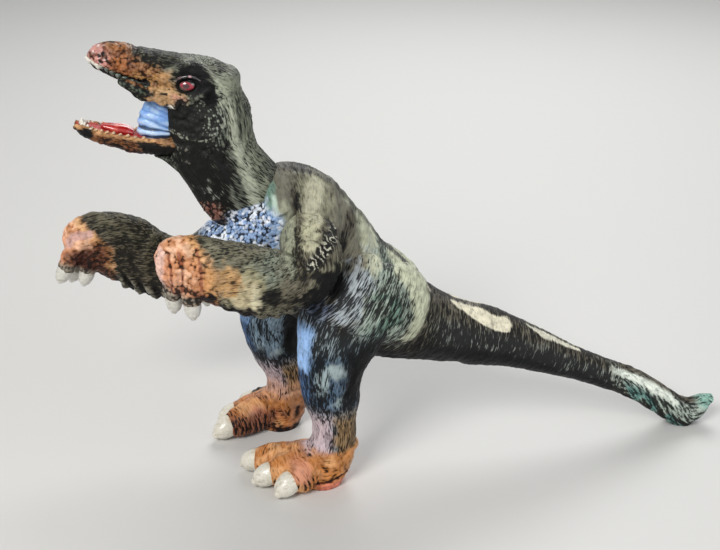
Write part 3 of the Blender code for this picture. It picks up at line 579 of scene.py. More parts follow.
def trunk_paint(points, lie, flow, rise):
    """The trunk's paint, from the sprayed ground to the last brush strokes, and where its chest is."""
    x = points[:, 0]
    high = upness(lie)
    blots = mottle(points / 4.2, 21)
    ragged = 0.28 * blots + 0.25 * mottle(points / 1.5, 22) + 0.2 * mottle(flow / 2.5, 23)
    back = ease(high, 0.55, 0.85)
    tail = ease(x, 43, 52)
    end = ease(x, 104, 112)
    # the ground, the dark of the back and the shade in front of the hump
    paint = Paint(points, "716c5c", 0.3 + 0.3 * ease(high, -0.2, 0.6))
    paint.brush("504f42", 0.74, back * (1 - tail))
    paint.spray("5f5d4f", 0.66, 14, 86, 15, 14, 0, 0.4, ragged, 0.9)
    paint.spray("3f3b30", 0.5, 5.5, 87.5, 3.6, 3.0, -20, 0.5, ragged, 0.8)
    # green, grey, brown and cream bands from the neck's base to the flank
    for colour, cover, width, amount, route in (
        ("5b7d70", 0.6, 4.4, 0.9, ((-1.6, 92), (-1.2, 84), (-0.4, 76))),
        ("b3c9bc", 0.6, 1.8, 0.8, ((0.4, 90), (0.8, 84), (1.4, 76))),
        ("8e917c", 0.74, 4.4, 0.85, ((3.0, 88), (3.2, 80), (4.0, 70))),
        ("4a4439", 0.42, 3.4, 0.8, ((6.6, 92), (6.2, 84), (7.4, 77))),
        ("85846e", 0.76, 9.5, 0.8, ((14.5, 97.5), (12.6, 91.4), (10.6, 86), (9.0, 81))),
        ("b3b198", 0.84, 4.2, 0.78, ((13.0, 95), (11.8, 91.4), (10.1, 86.1), (8.6, 81))),
        ("a5a890", 0.64, 7.8, 0.95,
         ((24.6, 86), (27.2, 80.9), (28.3, 75.2), (27.8, 69.6), (25.5, 65.9), (22.2, 61))),
        ("bfc1a8", 0.76, 3.4, 0.9, ((25.6, 84), (28.6, 79), (29.4, 74), (28.4, 69.6))),
        ("262b26", 0.36, 4.2, 0.8, ((32.4, 82), (33.2, 75), (32.0, 68))),
    ):
        paint.stroke(colour, cover, route, width, 0.4, ragged, amount)
    # the grey haunch with its green shade and its cream band, and the blue of the belly
    paint.spray("9aa79b", 0.5, 31.5, 57.5, 9.5, 14, -12, 0.35, ragged)
    paint.spray("a9b2b8", 0.5, 20.5, 63.5, 5.0, 9.0, -30, 0.4, ragged, 0.9)
    paint.spray("4a7566", 0.44, 31, 58, 6, 9, -12, 0.4, amount=0.65 * ease(blots, 0.1, 0.4))
    haunch_band = ((36.4, 69), (40.3, 63.1), (41.8, 58), (41.0, 52.5), (38.2, 46.5))
    paint.stroke("bcc0a6", 0.62, haunch_band, 5.2, 0.35, ragged)
    paint.spray("5d6a86", 0.42, 3, 60, 11, 7.5, 20, 0.4, ragged)
    # the tail: brown above, grey on its side, near black below, with two long cream patches
    paint.brush("6a6558", 0.42, tail * ease(high + 0.3 * ragged, 0.2, 0.6) * (1 - end))
    paint.brush("8b908a", 0.25, tail * (1 - ease(high + 0.3 * ragged, 0.3, 0.7)) * (1 - end))
    # near black underneath: the belly's own dark paint, deepened as painted shade on the underside
    under = ease(-high + 0.4 * ragged, -0.05, 0.4) * ease(x, 36, 48) + ease(-high + 0.3 * ragged, 0.5, 0.8)
    paint.brush("3a3d42", 0.04, under * (1 - 0.7 * end))
    root_patch = ((44.0, 61.4), (49.0, 56.8), (55.4, 51.6), (61.8, 47.2), (66.4, 44.6), (71.0, 42.8))
    middle_patch = ((73.0, 46.4), (79.2, 42.0), (85.0, 38.2), (91.0, 34.4), (96.4, 30.8))
    paint.stroke("d8d2bb", 0.98, root_patch, 3.0, 0.16, 0.4 * ragged, thin_start=0.3, thin_end=1.1)
    paint.stroke("cfccba", 0.93, middle_patch, 3.8, 0.16, 0.4 * ragged, thin_start=0.35, thin_end=0.3)
    # the tail's end: grey and green bands with a white streak, and a green tip
    paint.brush("a9b5aa", 0.42, end * ease(high, -0.8, -0.1))
    banded = mottle(flow / (2.5, 4.5, 4.5), 24)
    paint.brush("6d9a92", 0.46, end * ease(banded, 0.05, 0.3) * ease(-high, -0.5, 0.2))
    streak = ((106, 24.4), (117, 19.0), (126, 13.2), (130, 9.6))
    paint.stroke("dde3d8", 0.85, streak, 4.0, 0.5, ragged, end, thin_start=0.3, thin_end=0.5)
    paint.brush("5a5547", 0.5, end * ease(high, 0.75, 0.95))
    paint.spray("93bdaf", 0.56, 142.5, 9.4, 4.2, 3.2, 0, 0.4, 0.5 * ragged)
    # painted shade behind the arm and painted shadow in the hollow under it, the dark along the spine, and
    # the pebbled chest
    paint.stroke("3a352a", 0.3, ((15.0, 72.0), (19.0, 77.5), (21.5, 83.5)), 3.4, 0.5, ragged, 0.8)
    paint.stroke("1c1a16", 0.08, ((8.6, 73.6), (12.6, 70.4), (16.0, 67.0)), 6.0, 0.4, 0.5 * ragged)
    paint.brush("2a2620", 0.25, ease(high, 0.975, 0.997) * (1 - end) * 0.7)
    chest = sprayed(points, -10, 80.5, 12.5, 10, 0, 0.25, 0.5 * ragged)
    blue_pebbles(paint, chest, blots)
    paint.cover = paint.cover + 0.3 * rise
    return paint, chest


TRUNK_PLASTIC = painted_plastic("painted_feathers", 0.95)


def trunk_piece(name, points, faces, node):
    """One length of the trunk: its paint, its relief, and the flats that the arms turn against.

    A flat reaches out to the arm's sweep, less far above and behind the shoulder, and the skin
    stays inside the arm's face there by a gap.
    """
    lie, _ = lie_of(points, TRUNK, up=TRUNK_UP)
    flow = trunk_flow(lie)
    rise = trunk_relief(points, lie, flow)
    paint, chest = trunk_paint(points, lie, flow, rise)
    points = points + facing(points, faces) * rise[:, None]
    from_axis = points[:, (0, 2)] - SHOULDER
    away = np.linalg.norm(from_axis, axis=1)
    above = from_axis[:, 1] / np.maximum(away, 1)
    behind = (0.9 * from_axis[:, 0] + 0.44 * from_axis[:, 1]) / np.maximum(away, 1)
    away = away + 9 * np.maximum(ease(behind, 0.0, 0.5), ease(above, 0.2, 0.8))
    limit = SHOULDER_FACE - FACE_GAP + 30 * ease(away, ARM_SWEEP - 0.5, ARM_SWEEP + 3)
    points[:, 1] = np.clip(points[:, 1], -limit, limit)
    points[:, 2] = np.maximum(points[:, 2], FLOOR_GAP)
    skin_piece(name, points, faces, paint, flow, chest, TRUNK_PLASTIC, "figure", "painted_skin", node)


HAUNCHES = (
    [(24, -12.5, 64, 6, 9), (29, -13, 58.5, 8.5, 13.5), (36.5, -9.8, 52.5, 8, 12), (43, -6.4, 47.6, 5.5, 8.5),
     (46, -5, 45.4, 3, 5)],
    [(15, 13, 63.5, 6, 9), (22, 13.6, 58.5, 8.5, 13), (31, 11, 54, 8, 12), (40, 7.4, 49.4, 6, 9.5),
     (45.5, 5.2, 45.8, 3, 5)],
)
SEAM_OVERLAP = 0.15  # of a row, by which the torso reaches into the tail
torso_shapes = [limb(TRUNK, 150, 150, last=TAIL_SEAM_ROW + SEAM_OVERLAP, up=TRUNK_UP)]
torso_shapes += [limb(haunch) for haunch in HAUNCHES]
trunk_piece("feathered_torso", *melt(torso_shapes, 0.42), "torso")
trunk_piece("feathered_tail", *limb(TRUNK, 270, 240, (-0.2, 0.5), TAIL_SEAM_ROW, up=TRUNK_UP), "tail")

# The head and neck: one casting with the skull, the cheeks and the shaggy neck. The mouth is cut
# out for the jaw and its web. The snout is orange and pink, the crown olive, the cheeks black.

NECK = [
    (0.5, 0, 79, 8, 9), (-3.5, 0, 84, 9.2, 11.5), (-9.2, 0, 90.4, 9.2, 12.4), (-13.8, 0, 97.6, 8.8, 11.8),
    (-16.8, 0, 104.9, 8.5, 12.4), (-16.2, 0, 112, 8.4, 11.2), (-16.4, 0, 118, 7.6, 9.2),
    (-17.4, 0, 122.5, 5.2, 4.6),
]
SKULL = [
    (-11.2, 0, 118.3, 4.2, 4.2), (-13.2, 0, 119.5, 7.0, 7.0), (-18.5, 0, 121.8, 8.1, 7.7),
    (-24, 0, 124.2, 7.4, 6.0), (-30, 0, 126.3, 6.2, 5.2), (-36.5, 0, 128.2, 5.4, 4.8),
    (-42, 0, 129.7, 4.8, 4.3), (-46.2, 0, 130.6, 3.7, 3.1), (-48.0, 0, 130.8, 2.1, 1.8),
]
CHEEKS = [
    (-22, 0, 121.5, 6, 4.5), (-22.5, 0, 116, 7, 7), (-21.8, 0, 109.5, 7.3, 7.2),
    (-20.8, 0, 103.5, 7, 6.5), (-19.5, 0, 99.5, 6, 4.5),
]
THROAT = [
    (-33, 0, 101.7, 1.5, 0.4), (-30.5, 0, 101.3, 3.4, 0.8), (-27, 0, 99.4, 4.8, 1.8),
    (-23.5, 0, 97, 5.8, 2.8), (-20, 0, 93, 6.2, 3.6),
]
GUM_FLAP = [
    (-40.6, 4.9, 124.9, 0.6, 0.7), (-38.8, 5.2, 123.9, 0.8, 1.3), (-37.0, 5.3, 122.9, 0.9, 1.8),
    (-34.8, 5.3, 121.2, 1.1, 2.2), (-31, 5.4, 120.8, 1.3, 2.3), (-28, 5.7, 119.5, 1.3, 2.1),
    (-25.4, 6.0, 117.8, 1.2, 1.7),
]
LIP_LINE = (
    (-49.6, 129.4), (-46.2, 127.1), (-42.4, 125.7), (-39, 123.6), (-35.5, 121.9), (-31.9, 120.6),
    (-29.7, 117.7),
)
EYE = (-22.3, 6.1, 123.2)
JAW_PIN = (-18.0, 107.5)  # x and z of the jaw's axis
KNUCKLE_RADIUS, KNUCKLE_GAP = 4.3, 0.35
SLOT_HALF_WIDTH = 4.95  # the mouth's inside, which is open forward to SLOT_FRONT
SLOT_FRONT, SLOT_FLOOR = -44, 100.9
SLOT_ROOF_RISE = 29  # degrees above level, from the top of the knuckle's slot
WEB_REACH, WEB_GAP = 19.6, 0.6  # how far the web stands from the pin
WEB_RISES = (18.5, 61)  # degrees above level, seen from the pin
WEB_SLOT_HALF_WIDTH = 3.4


def prism(outline, half_width):
    """A flat outline in the side view, thick from -half_width to half_width, as points and quads."""
    outline = np.array(outline, float)
    middle = outline.mean(axis=0)

    def ring(y, share):
        """The outline at a depth y, drawn in to its middle as the share falls to 0."""
        flat = middle + (outline - middle) * share
        return np.c_[flat[:, 0], np.full(len(flat), y), flat[:, 1]]

    grid = np.array([ring(-half_width, 0), ring(-half_width, 1), ring(half_width, 1), ring(half_width, 0)])
    return grid_points(grid), grid_faces(4, len(outline))


def from_pin(reach, rise):
    """A point of the side view at a reach in front of the jaw's pin, raised by an angle in degrees."""
    angle = math.radians(rise)
    return JAW_PIN[0] - reach * math.cos(angle), JAW_PIN[1] + reach * math.sin(angle)


def nearest_lie(points, tables):
    """The coordinates on each limb, the number of the limb that a point lies on, and the share of
    each, which fades from one to the next."""
    lies, nears = zip(*(lie_of(points, table, **lean) for table, lean in tables))
    nears = np.array(nears)
    shares = np.exp(-7 * (nears - nears.min(axis=0)))
    return lies, nears.argmin(axis=0), shares / shares.sum(axis=0)


slot_turns = np.radians(np.linspace(-90, 90, 13))
slot_arc = [(JAW_PIN[0] + (KNUCKLE_RADIUS + KNUCKLE_GAP) * math.cos(t),
             JAW_PIN[1] + (KNUCKLE_RADIUS + KNUCKLE_GAP) * math.sin(t)) for t in slot_turns]
slot_top = slot_arc[-1][1] + (JAW_PIN[0] - SLOT_FRONT) * math.tan(math.radians(SLOT_ROOF_RISE))
slot_outline = [(SLOT_FRONT, SLOT_FLOOR), (slot_arc[0][0], SLOT_FLOOR), *slot_arc, (SLOT_FRONT, slot_top)]
web_outline = [from_pin(KNUCKLE_RADIUS, WEB_RISES[0])]
web_outline += [from_pin(WEB_REACH + WEB_GAP, rise) for rise in np.linspace(*WEB_RISES, 9)]
web_outline += [from_pin(KNUCKLE_RADIUS, WEB_RISES[1])]
gum_flaps = [limb([(x, sign * y, z, wide, tall) for x, y, z, wide, tall in GUM_FLAP]) for sign in (-1, 1)]
points, faces = melt(
    [limb(NECK), limb(SKULL, bulge=(0.3, 0.6)), limb(CHEEKS), limb(THROAT), *gum_flaps], 0.36,
    [prism(slot_outline, SLOT_HALF_WIDTH), prism(web_outline, WEB_SLOT_HALF_WIDTH)],
)
x, z = points[:, 0], points[:, 2]
aside = np.abs(points[:, 1])
lies, nearest, shares = nearest_lie(points, ((NECK, {}), (SKULL, {}), (CHEEKS, {}), (THROAT, {})))
on_skull = shares[1]
neck_s, neck_a, neck_b = lies[0].T
neck_flow = np.stack((neck_s / 3.4, neck_a / 0.5, (neck_b - 0.25 * neck_s) / 0.5), axis=1)
flow = np.where((nearest == 1)[:, None], lies[1] / (2.6, 0.5, 0.5), neck_flow)
blots = mottle(points / 3.2, 31)
small = mottle(points / 1.3, 32)
specks = mottle(points / 0.75, 33)
ragged = 0.3 * blots + 0.3 * small
snout = ease(-x, 27.5, 32.5) * on_skull
jowl = sprayed(points, -21.5, 111.5, 8, 11, 5, 0.35)
back = ease(x + 0.3 * (z - 100), -11, -3)

rise = (1 - snout) * (0.2 * (ridged(flow, 2.2, 34) - 0.6) + 0.22 * mottle(flow / (3, 6, 6), 35))
rise += 0.12 * small * (1 - snout) + snout * (0.22 * small + 0.16 * blots)
rise += jowl * (0.3 * small + 0.2 * specks)
# welts over and under the eye, along the lip and the snout, under the cheek and down the neck;
# then grooves across the snout, before the eye, down the neck and at the mouth's corner
rise += welts(
    points, 0.6,
    (((-28.6, 125.2), (-26.2, 127.2), (-22.4, 127.9), (-18.4, 126.9), (-15.4, 124.2)), 2.4, 0.8),
    (((-27.2, 121.6), (-23.8, 119.6), (-19.6, 120.0), (-16.6, 122.2)), 1.5, 0.5),
    (LIP_LINE, 1.4, 0.5),
    (((-47.5, 133.0), (-43, 134.2), (-38, 133.3)), 2.2, 0.35),
    (((-31.0, 117.2), (-27.0, 110.4), (-21.0, 108.8), (-16.0, 109.6)), 1.5, 0.45),
    (((-13.5, 124), (-10.8, 117), (-10.2, 109), (-9.2, 101)), 2.2, 0.4),
    (((-18.0, 103), (-14.6, 98), (-11.5, 91), (-9.6, 86)), 2.0, 0.6),
    (((-36.6, 134.5), (-35.2, 130.0), (-34.0, 126.0), (-33.6, 122.0)), 1.2, -0.35),
    (((-33.2, 129.0), (-29.6, 127.2), (-27.8, 124.6)), 1.3, -0.45),
    (((-14.2, 122), (-12.0, 116), (-12.2, 108), (-13.4, 101)), 1.4, -0.5),
    (((-30.4, 116.0), (-27.2, 113.8), (-24.0, 113.6)), 1.2, -0.5),
)
# the back of the skull, the wattle, the eye's hollow and the nostril
rise += 1.0 * sprayed(points, -9.4, 123.2, 3.4, 3.4, 0, 0.6)
rise += sprayed(points, -17.4, 86.6, 3.6, 3.4, -15, 0.5) * (1.0 + 0.7 * small)
rise -= 0.9 * sprayed(points, EYE[0], EYE[2], 3.0, 2.2, 0, 0.3) * ease(aside, 4, 6)
rise -= 0.9 * sprayed(points, -45.9, 131.7, 1.0, 0.6, -20, 0.4) * ease(aside, 1.6, 2.6)
in_mouth = (aside < SLOT_HALF_WIDTH + 0.5) & (z < 127 - 0.35 * (x + 30)) & (x < -14)
rise = np.where(in_mouth & (aside < SLOT_HALF_WIDTH + 0.2) & (z < 121), 0, rise)
normal = facing(points, faces)

# the neck: an olive ground, dark on its back, with two long pale strokes behind the cheek
paint = Paint(points, "5d6156", 0.5)
paint.brush("43463b", 0.66, back * ease(neck_b, 6, 10))
paint.stroke("747968", 0.6, (
    (-21.7, 130.7), (-15.0, 127.6), (-10.8, 120), (-9.4, 112.8), (-7.0, 104), (-4.6, 98), (-3.5, 92),
), 5.8, 0.5, ragged)
paint.stroke("9ba08e", 0.68, (
    (-19.0, 127.0), (-13.6, 121), (-11.8, 113), (-9.4, 104), (-6.9, 95), (-5.8, 89),
), 3.4, 0.5, ragged)
paint.spray("4c4e44", 0.06, -19.6, 99, 6.6, 15, 16, 0.35, 0.6 * ragged)
paint.spray("8b8d86", 0.3, -18.5, 93, 4.5, 8, 20, 0.5, amount=ease(small, 0.1, 0.4))
paint.spray("71463a", 0.5, -17.6, 86.4, 4.6, 2.8, -15, 0.4, ragged)
bib = ease(87.3 + 0.28 * (x + 10) - z + ragged, -0.4, 0.4) * ease(x, -14.4, -12.6)
blue_pebbles(paint, bib, blots)
# the crown and the snout: grey and brown above, then tan, orange and pink to the tip
paint.brush("76796a", 0.45, on_skull * (1 - snout) * ease(z - 0.4 * x, 129, 133))
paint.spray("3b3a2f", 0.3, -31.5, 131.6, 6.0, 2.6, -14, 0.4, ragged)
paint.brush("8a5c34", 0.8, snout)
paint.spray("a77b4a", 0.8, -31.0, 124.4, 6.4, 3.4, -20, 0.4, ragged)
paint.spray("91562c", 0.8, -40.5, 129.8, 5.0, 4.0, 0, 0.4, ragged)
paint.spray("bd837a", 0.86, -47.0, 130.8, 3.8, 3.4, 0, 0.4, ragged)
paint.spray("efe2de", 0.7, -46.5, 131.6, 3.0, 2.2, 0, 0.5, amount=ease(specks, 0.25, 0.55))
paint.brush("5d3218", 0.66, snout * ease(small, 0.0, 0.35) * 0.8)
paint.spray("4a4a3a", 0.4, -31.0, 131.2, 6.6, 2.2, -14, 0.4, ragged)
# the tan face below the eye, with dark flecks and a pink patch
flecks = ease(mottle(points / 1.1, 36), 0.2, 0.5)
paint.spray("b8946a", 0.8, -27.0, 119.8, 5.4, 2.3, -20, 0.4, ragged)
paint.spray("5a4a38", 0.4, -28.5, 121.4, 5.0, 3.0, -20, 0.4, amount=0.8 * flecks)
paint.spray("c98f7c", 0.84, -24.8, 119.2, 2.4, 1.2, -20, 0.4, ragged, 0.7)
# the black round the eye and behind it
paint.spray("0a0a0b", 0.0, -20.6, 124.9, 4.7, 3.7, -24, 0.3, 0.8 * ragged)
paint.spray("0a0a0b", 0.0, -22.4, 123.2, 3.3, 2.2, -8, 0.3, 0.3 * ragged)
paint.spray("101110", 0.05, -16.8, 119.6, 1.8, 3.0, 10, 0.4, ragged, 0.9)
# the black cheek with its grey flecks
paint.spray("5d6158", 0.03, -23.6, 111.8, 6.4, 7.0, 0, 0.3, 0.6 * ragged)
paint.spray("8d9387", 0.42, -16.2, 113.5, 4.2, 7.0, 10, 0.5, ragged, ease(blots, -0.2, 0.2))
paint.spray("77756a", 0.42, -24.6, 103.6, 6.5, 2.6, -25, 0.5, ragged, ease(small, -0.1, 0.3))
paint.spray("77756a", 0.4, -20.2, 115.6, 3.2, 1.6, 15, 0.5, ragged, ease(small, -0.1, 0.3))
cheek_line = ((-30.5, 110.4), (-26.8, 109.6), (-21, 108.0), (-16, 108.4))
paint.stroke("85867a", 0.55, cheek_line, 1.3, 0.6, 1.6 * ragged, thin_end=0.6)
# the dark green gum, the tan lip behind it, a white tooth at the mouth's corner, and painted shade inside the
# mouth
gum = brushed(points, LIP_LINE, 2.2, 0.35, 0.3 * ragged) * (z < 131)
gum = np.maximum(gum, sprayed(points, -36.2, 120.9, 3.4, 2.4, -10, 0.3, 0.5 * ragged))
paint.brush("39473c", 0.4, gum * ease(-x, 31, 34) * 0.95)
paint.spray("a9845c", 0.8, -30.5, 119.6, 4.0, 1.3, -8, 0.3, 0.5 * ragged, 0.9)
paint.spray("e4e0d4", 0.95, -27.6, 117.2, 0.9, 0.8, 0, 0.3, 0.3 * ragged)
# painted shade: the mouth's inside is darkened where its surface faces down
paint.brush("2a120c", 0.2, in_mouth * ease(-normal[:, 2], 0.45, 0.75))
paint.cover = paint.cover + 0.25 * rise
wattle = sprayed(points, -17.6, 86.4, 5, 3.4, -15, 0.4)
scaly = np.clip(0.7 * snout + 0.6 * jowl + wattle + bib, 0, 1)
points = points + normal * rise[:, None]
skin_piece("head_casting", points, faces, paint, flow, scaly, painted_plastic("painted_head", 0.95), "figure",
           "painted_skin", "head_and_neck")

# The eyes: glossy beads set under the brow, red with a dark middle, in a black rim. Fine pale lines
# run over the upper lid.


def bead(centre, half, rings=40, sides=48):
    """A ball of unlike half sizes, its poles at the two ends along Y."""
    tall = np.linspace(-90, 90, rings)
    turn = np.linspace(0, 360, sides, endpoint=False)
    cosine, sine = np.cos(np.radians(tall))[:, None], np.sin(np.radians(tall))[:, None]
    round_ = np.stack(np.broadcast_arrays(
        cosine * np.cos(np.radians(turn)), sine + 0 * turn, -cosine * np.sin(np.radians(turn))), axis=-1)
    grid = np.asarray(centre) + round_ * half
    return grid_points(grid), grid_faces(rings, sides)


def gloss_paint(name, roughness, bump=0.04, scale=1200.0, varnish=0.6):
    """A thick glossy paint: the piece's own coat, faintly mottled, under a clear varnish."""
    dirt, bloom = (0.02, 0.015, 0.012, 1), (0.9, 0.88, 0.8, 1)
    finish, shader, bench = new_finish(name)
    speck = bench.noise(bench.place(), scale, 3.0)
    grime = bench.blend(speck.step(0.35, 0.65), dirt, bloom)
    bench.feed(shader, Base_Color=bench.blend(0.16, bench.attribute("coat", "Color"), grime, "OVERLAY"),
               Roughness=roughness + speck * 0.12)
    bench.feed(shader, Normal=bench.node(
        "ShaderNodeBump", None, {"Strength": 0.7, "Distance": bump * MM, "Height": speck}))
    shader.inputs["Coat Weight"].default_value = varnish
    shader.inputs["Coat Roughness"].default_value = 0.08
    return finish


EYE_GLOSS = gloss_paint("eye_varnish", 0.12, 0.01, varnish=1.0)
for side, sign in (("left", -1), ("right", 1)):
    points, faces = bead((EYE[0] - 0.2, sign * (EYE[1] + 0.1), EYE[2] + 0.2), (2.6, 2.0, 1.9))
    dx = points[:, 0] - EYE[0] + 0.3
    dz = points[:, 2] - EYE[2] - 0.25
    almond = np.abs(dx / 2.1) ** 1.6 + np.abs((dz + 0.15 * dx) / 1.25) ** 1.7
    paint = Paint(points, "050505", 1.0)
    paint.brush("8c0f26", 1, 1 - ease(almond, 0.75, 1.0))
    paint.brush("b8203e", 1, (1 - ease(almond, 0.3, 0.8)) * ease(dx, -0.2, 1.2) * 0.4)
    paint.brush("3a070e", 1, 1 - ease(np.hypot(dx + 0.3, dz / 0.75), 0.75, 1.1))
    skin_piece(f"{side}_eye_bead", points, faces, paint, points, 0, EYE_GLOSS, "figure", "eye_red",
               f"{side}_eye")
    lid = [
        (-25.8, sign * 6.8, 124.6, 0.25, 0.22), (-24.4, sign * 7.4, 125.7, 0.4, 0.3),
        (-22.4, sign * 7.7, 126.1, 0.45, 0.32), (-20.4, sign * 7.9, 125.7, 0.4, 0.3),
        (-19.0, sign * 7.8, 124.8, 0.22, 0.2),
    ]
    points, faces = limb(lid, 40, 16)
    paint = Paint(points, "1a1416", 1.0)
    paint.brush("c79aa2", 1, ease(mottle(points / 0.9, 51), 0.0, 0.4) * 0.9)
    skin_piece(f"{side}_upper_lid", points, faces, paint, points, 0, EYE_GLOSS, "figure", "painted_skin")

# The jaw: one casting on a steel pin through the cheeks, orange brown outside, with a tan gum line
# round a red floor. The teeth are cast in strips, the web is glossy blue and stands on the jaw.

JAW = [
    (-17, 0, 107.2, 3.8, 3.2), (-20, 0, 106.4, 4.4, 3.8), (-27, 0, 105.2, 4.6, 3.4),
    (-34, 0, 105.5, 5, 3.2), (-41, 0, 106.8, 4.7, 2.9), (-47, 0, 108.6, 4, 2.6),
    (-51.5, 0, 110.3, 3, 2.2), (-53.8, 0, 111.3, 1.6, 1.4),
]
TONGUE = [
    (-38.6, 0, 108.7, 1.8, 1), (-40.5, 0, 109.3, 2.4, 1.5), (-43, 0, 110, 2.3, 1.3),
    (-46.3, 0, 110.8, 1.5, 0.9),
]
KNUCKLE_HALF_WIDTH = 4.35
UPPER_LIP = dict(tip=(-49.2, 130.3), reach=15.4, half_width=3.9, slope=-0.5)
LOWER_LIP = dict(tip=(-52.6, 112.0), reach=17, half_width=3.9, slope=-0.22)
WEB_HALF_WIDTH = 3.1


def knuckle(sides=40):
    """The jaw's knuckle: a thick disc round the pin's axis, with a little room to the slot's walls."""
    turn = np.linspace(0, 2 * np.pi, sides, endpoint=False)
    depth = np.array((-1, -1, 1, 1))[:, None] * KNUCKLE_HALF_WIDTH
    radius = np.array((0, 1, 1, 0))[:, None] * KNUCKLE_RADIUS
    grid = np.stack(np.broadcast_arrays(
        JAW_PIN[0] + radius * np.cos(turn), depth, JAW_PIN[1] + radius * np.sin(turn)), axis=-1)
    return grid_points(grid), grid_faces(4, sides)


points, faces = melt([limb(JAW, bulge=(0.3, 0.6)), knuckle()], 0.3)
jaw_lie, _ = lie_of(points, JAW)
flow = jaw_lie / (2.2, 0.5, 0.5)
x, y, z = points.T
half_width = np.interp(-x, [-row[0] for row in JAW], [row[3] for row in JAW])
above_lip = z - LOWER_LIP["tip"][1] - LOWER_LIP["slope"] * (x - LOWER_LIP["tip"][0])
inner = 1 - ease(np.abs(y) / half_width, 0.5, 0.8)
on_floor = ease(above_lip, -1.8, -0.4) * inner * ease(-x, 27, 31)
gum = ease(above_lip, -2.0, -0.6) * (1 - inner) * ease(-x, 22, 27)
under = ease(-above_lip, 3.0, 5.5)
small = mottle(points / 1.1, 62)
blots = mottle(points / 2.4, 63)
rise = 0.26 * small + 0.12 * blots + gum * (0.3 + 0.2 * small)
rise += under * 0.4 * mottle(points / (1.6, 3, 3), 64)
rise = (rise * (1 - on_floor) - 0.9 * on_floor) * ease(-x, 24, 29)
paint = Paint(points, "6f4526", 0.55)
paint.brush("7d4f2b", 0.58, ease(blots, 0.0, 0.4))
paint.brush("2e1a10", 0.25, ease(mottle(flow / 2, 61), 0.25, 0.5) * 0.7)
paint.brush("6a3324", 0.45, under * 0.8)
paint.brush("4a4638", 0.16, ease(x + 1.6 * blots + 0.5 * (z - 106), -38.5, -34.0))
paint.brush("c0905f", 0.8, gum * (1 - 0.6 * ease(x, -34, -27)))
paint.brush("7d4d2a", 0.62, gum * ease(small, 0.0, 0.3) * 0.8)
paint.brush("a01d1a", 1.0, ease(on_floor, 0.2, 0.7))
paint.spray("0c0c0d", 0.0, -51.8, 109.3, 2.6, 1.5, 25, 0.35)
paint.cover = paint.cover + 0.5 * rise * (1 - on_floor)
points = points + facing(points, faces) * rise[:, None]
skin_piece("jaw_casting", points, faces, paint, flow, 0.35 * (1 - on_floor),
           painted_plastic("painted_jaw_plastic", 1.2, 0.42), "jaw", "painted_jaw", "lower_jaw")

# the tongue, with a crease along its top
points, faces = limb(TONGUE, 50, 40, (0.3, 0.8))
on_top = ease(points[:, 2] - 109 - 0.28 * (-40.5 - points[:, 0]), 0.2, 1.0)
points[:, 2] -= 0.45 * np.exp(-(points[:, 1] / 0.45) ** 2) * on_top
paint = Paint(points, "a81d1c", 1.0)
paint.brush("e06a58", 1, ease(mottle(points, 64), 0, 0.5) * 0.6)
skin_piece("tongue_casting", points, faces, paint, points, 0, gloss_paint("wet_red", 0.18, 0.05, 1500), "jaw",
           "mouth_red", "tongue")

# the web: it follows a circle round the pin, in folds that are deepest at its foot; painted shade lies in
# their hollows and painted highlights on their crests
web_rows = []
for share, girth in ((0.0, 1.0), (0.35, 1.0), (0.65, 1.0), (0.9, 0.92), (1.0, 0.75)):
    web_x, web_z = from_pin(WEB_REACH - 6.6, -6 + 45 * share)
    web_rows.append((web_x, 0, web_z, 3.0 * girth, 6.4 * girth))
points, faces = limb(web_rows, 110, 110)
web_lie, _ = lie_of(points, web_rows)
folds = np.sin(web_lie[:, 0] * 3.4 + 1.8 * mottle(web_lie / (2.4, 3, 3), 65))
folds += 0.6 * mottle(web_lie / 1.1, 66)
low = 1 - ease(web_lie[:, 0] + 1.5 * mottle(web_lie / 2.0, 67), 2.5, 6.5)
paint = Paint(points, "7fabe6", 1.0)
paint.brush("a9c8f0", 1, ease(mottle(web_lie / 1.2, 68), 0.0, 0.45) * 0.8)
# painted shade in the hollows of the folds, then painted highlights on the crests and near-black painted
# shade in the hollows at its foot
paint.brush("4f7fc4", 1, ease(-folds, 0.5, 1.2) * 0.6)
paint.brush("c3d7f0", 1, low * ease(folds, 0.1, 0.7) * 0.8)
paint.brush("14233c", 1, low * ease(-folds, 0.1, 0.6) * 0.95)
points = points + facing(points, faces) * ((0.1 + 0.16 * low) * folds)[:, None]
points[:, 1] = np.clip(points[:, 1], -WEB_HALF_WIDTH, WEB_HALF_WIDTH)
skin_piece("mouth_web", points, faces, paint, web_lie, 0, gloss_paint("wet_blue", 0.42, 0.09, 900, 0.3),
           "jaw", "mouth_blue", "mouth_membrane")


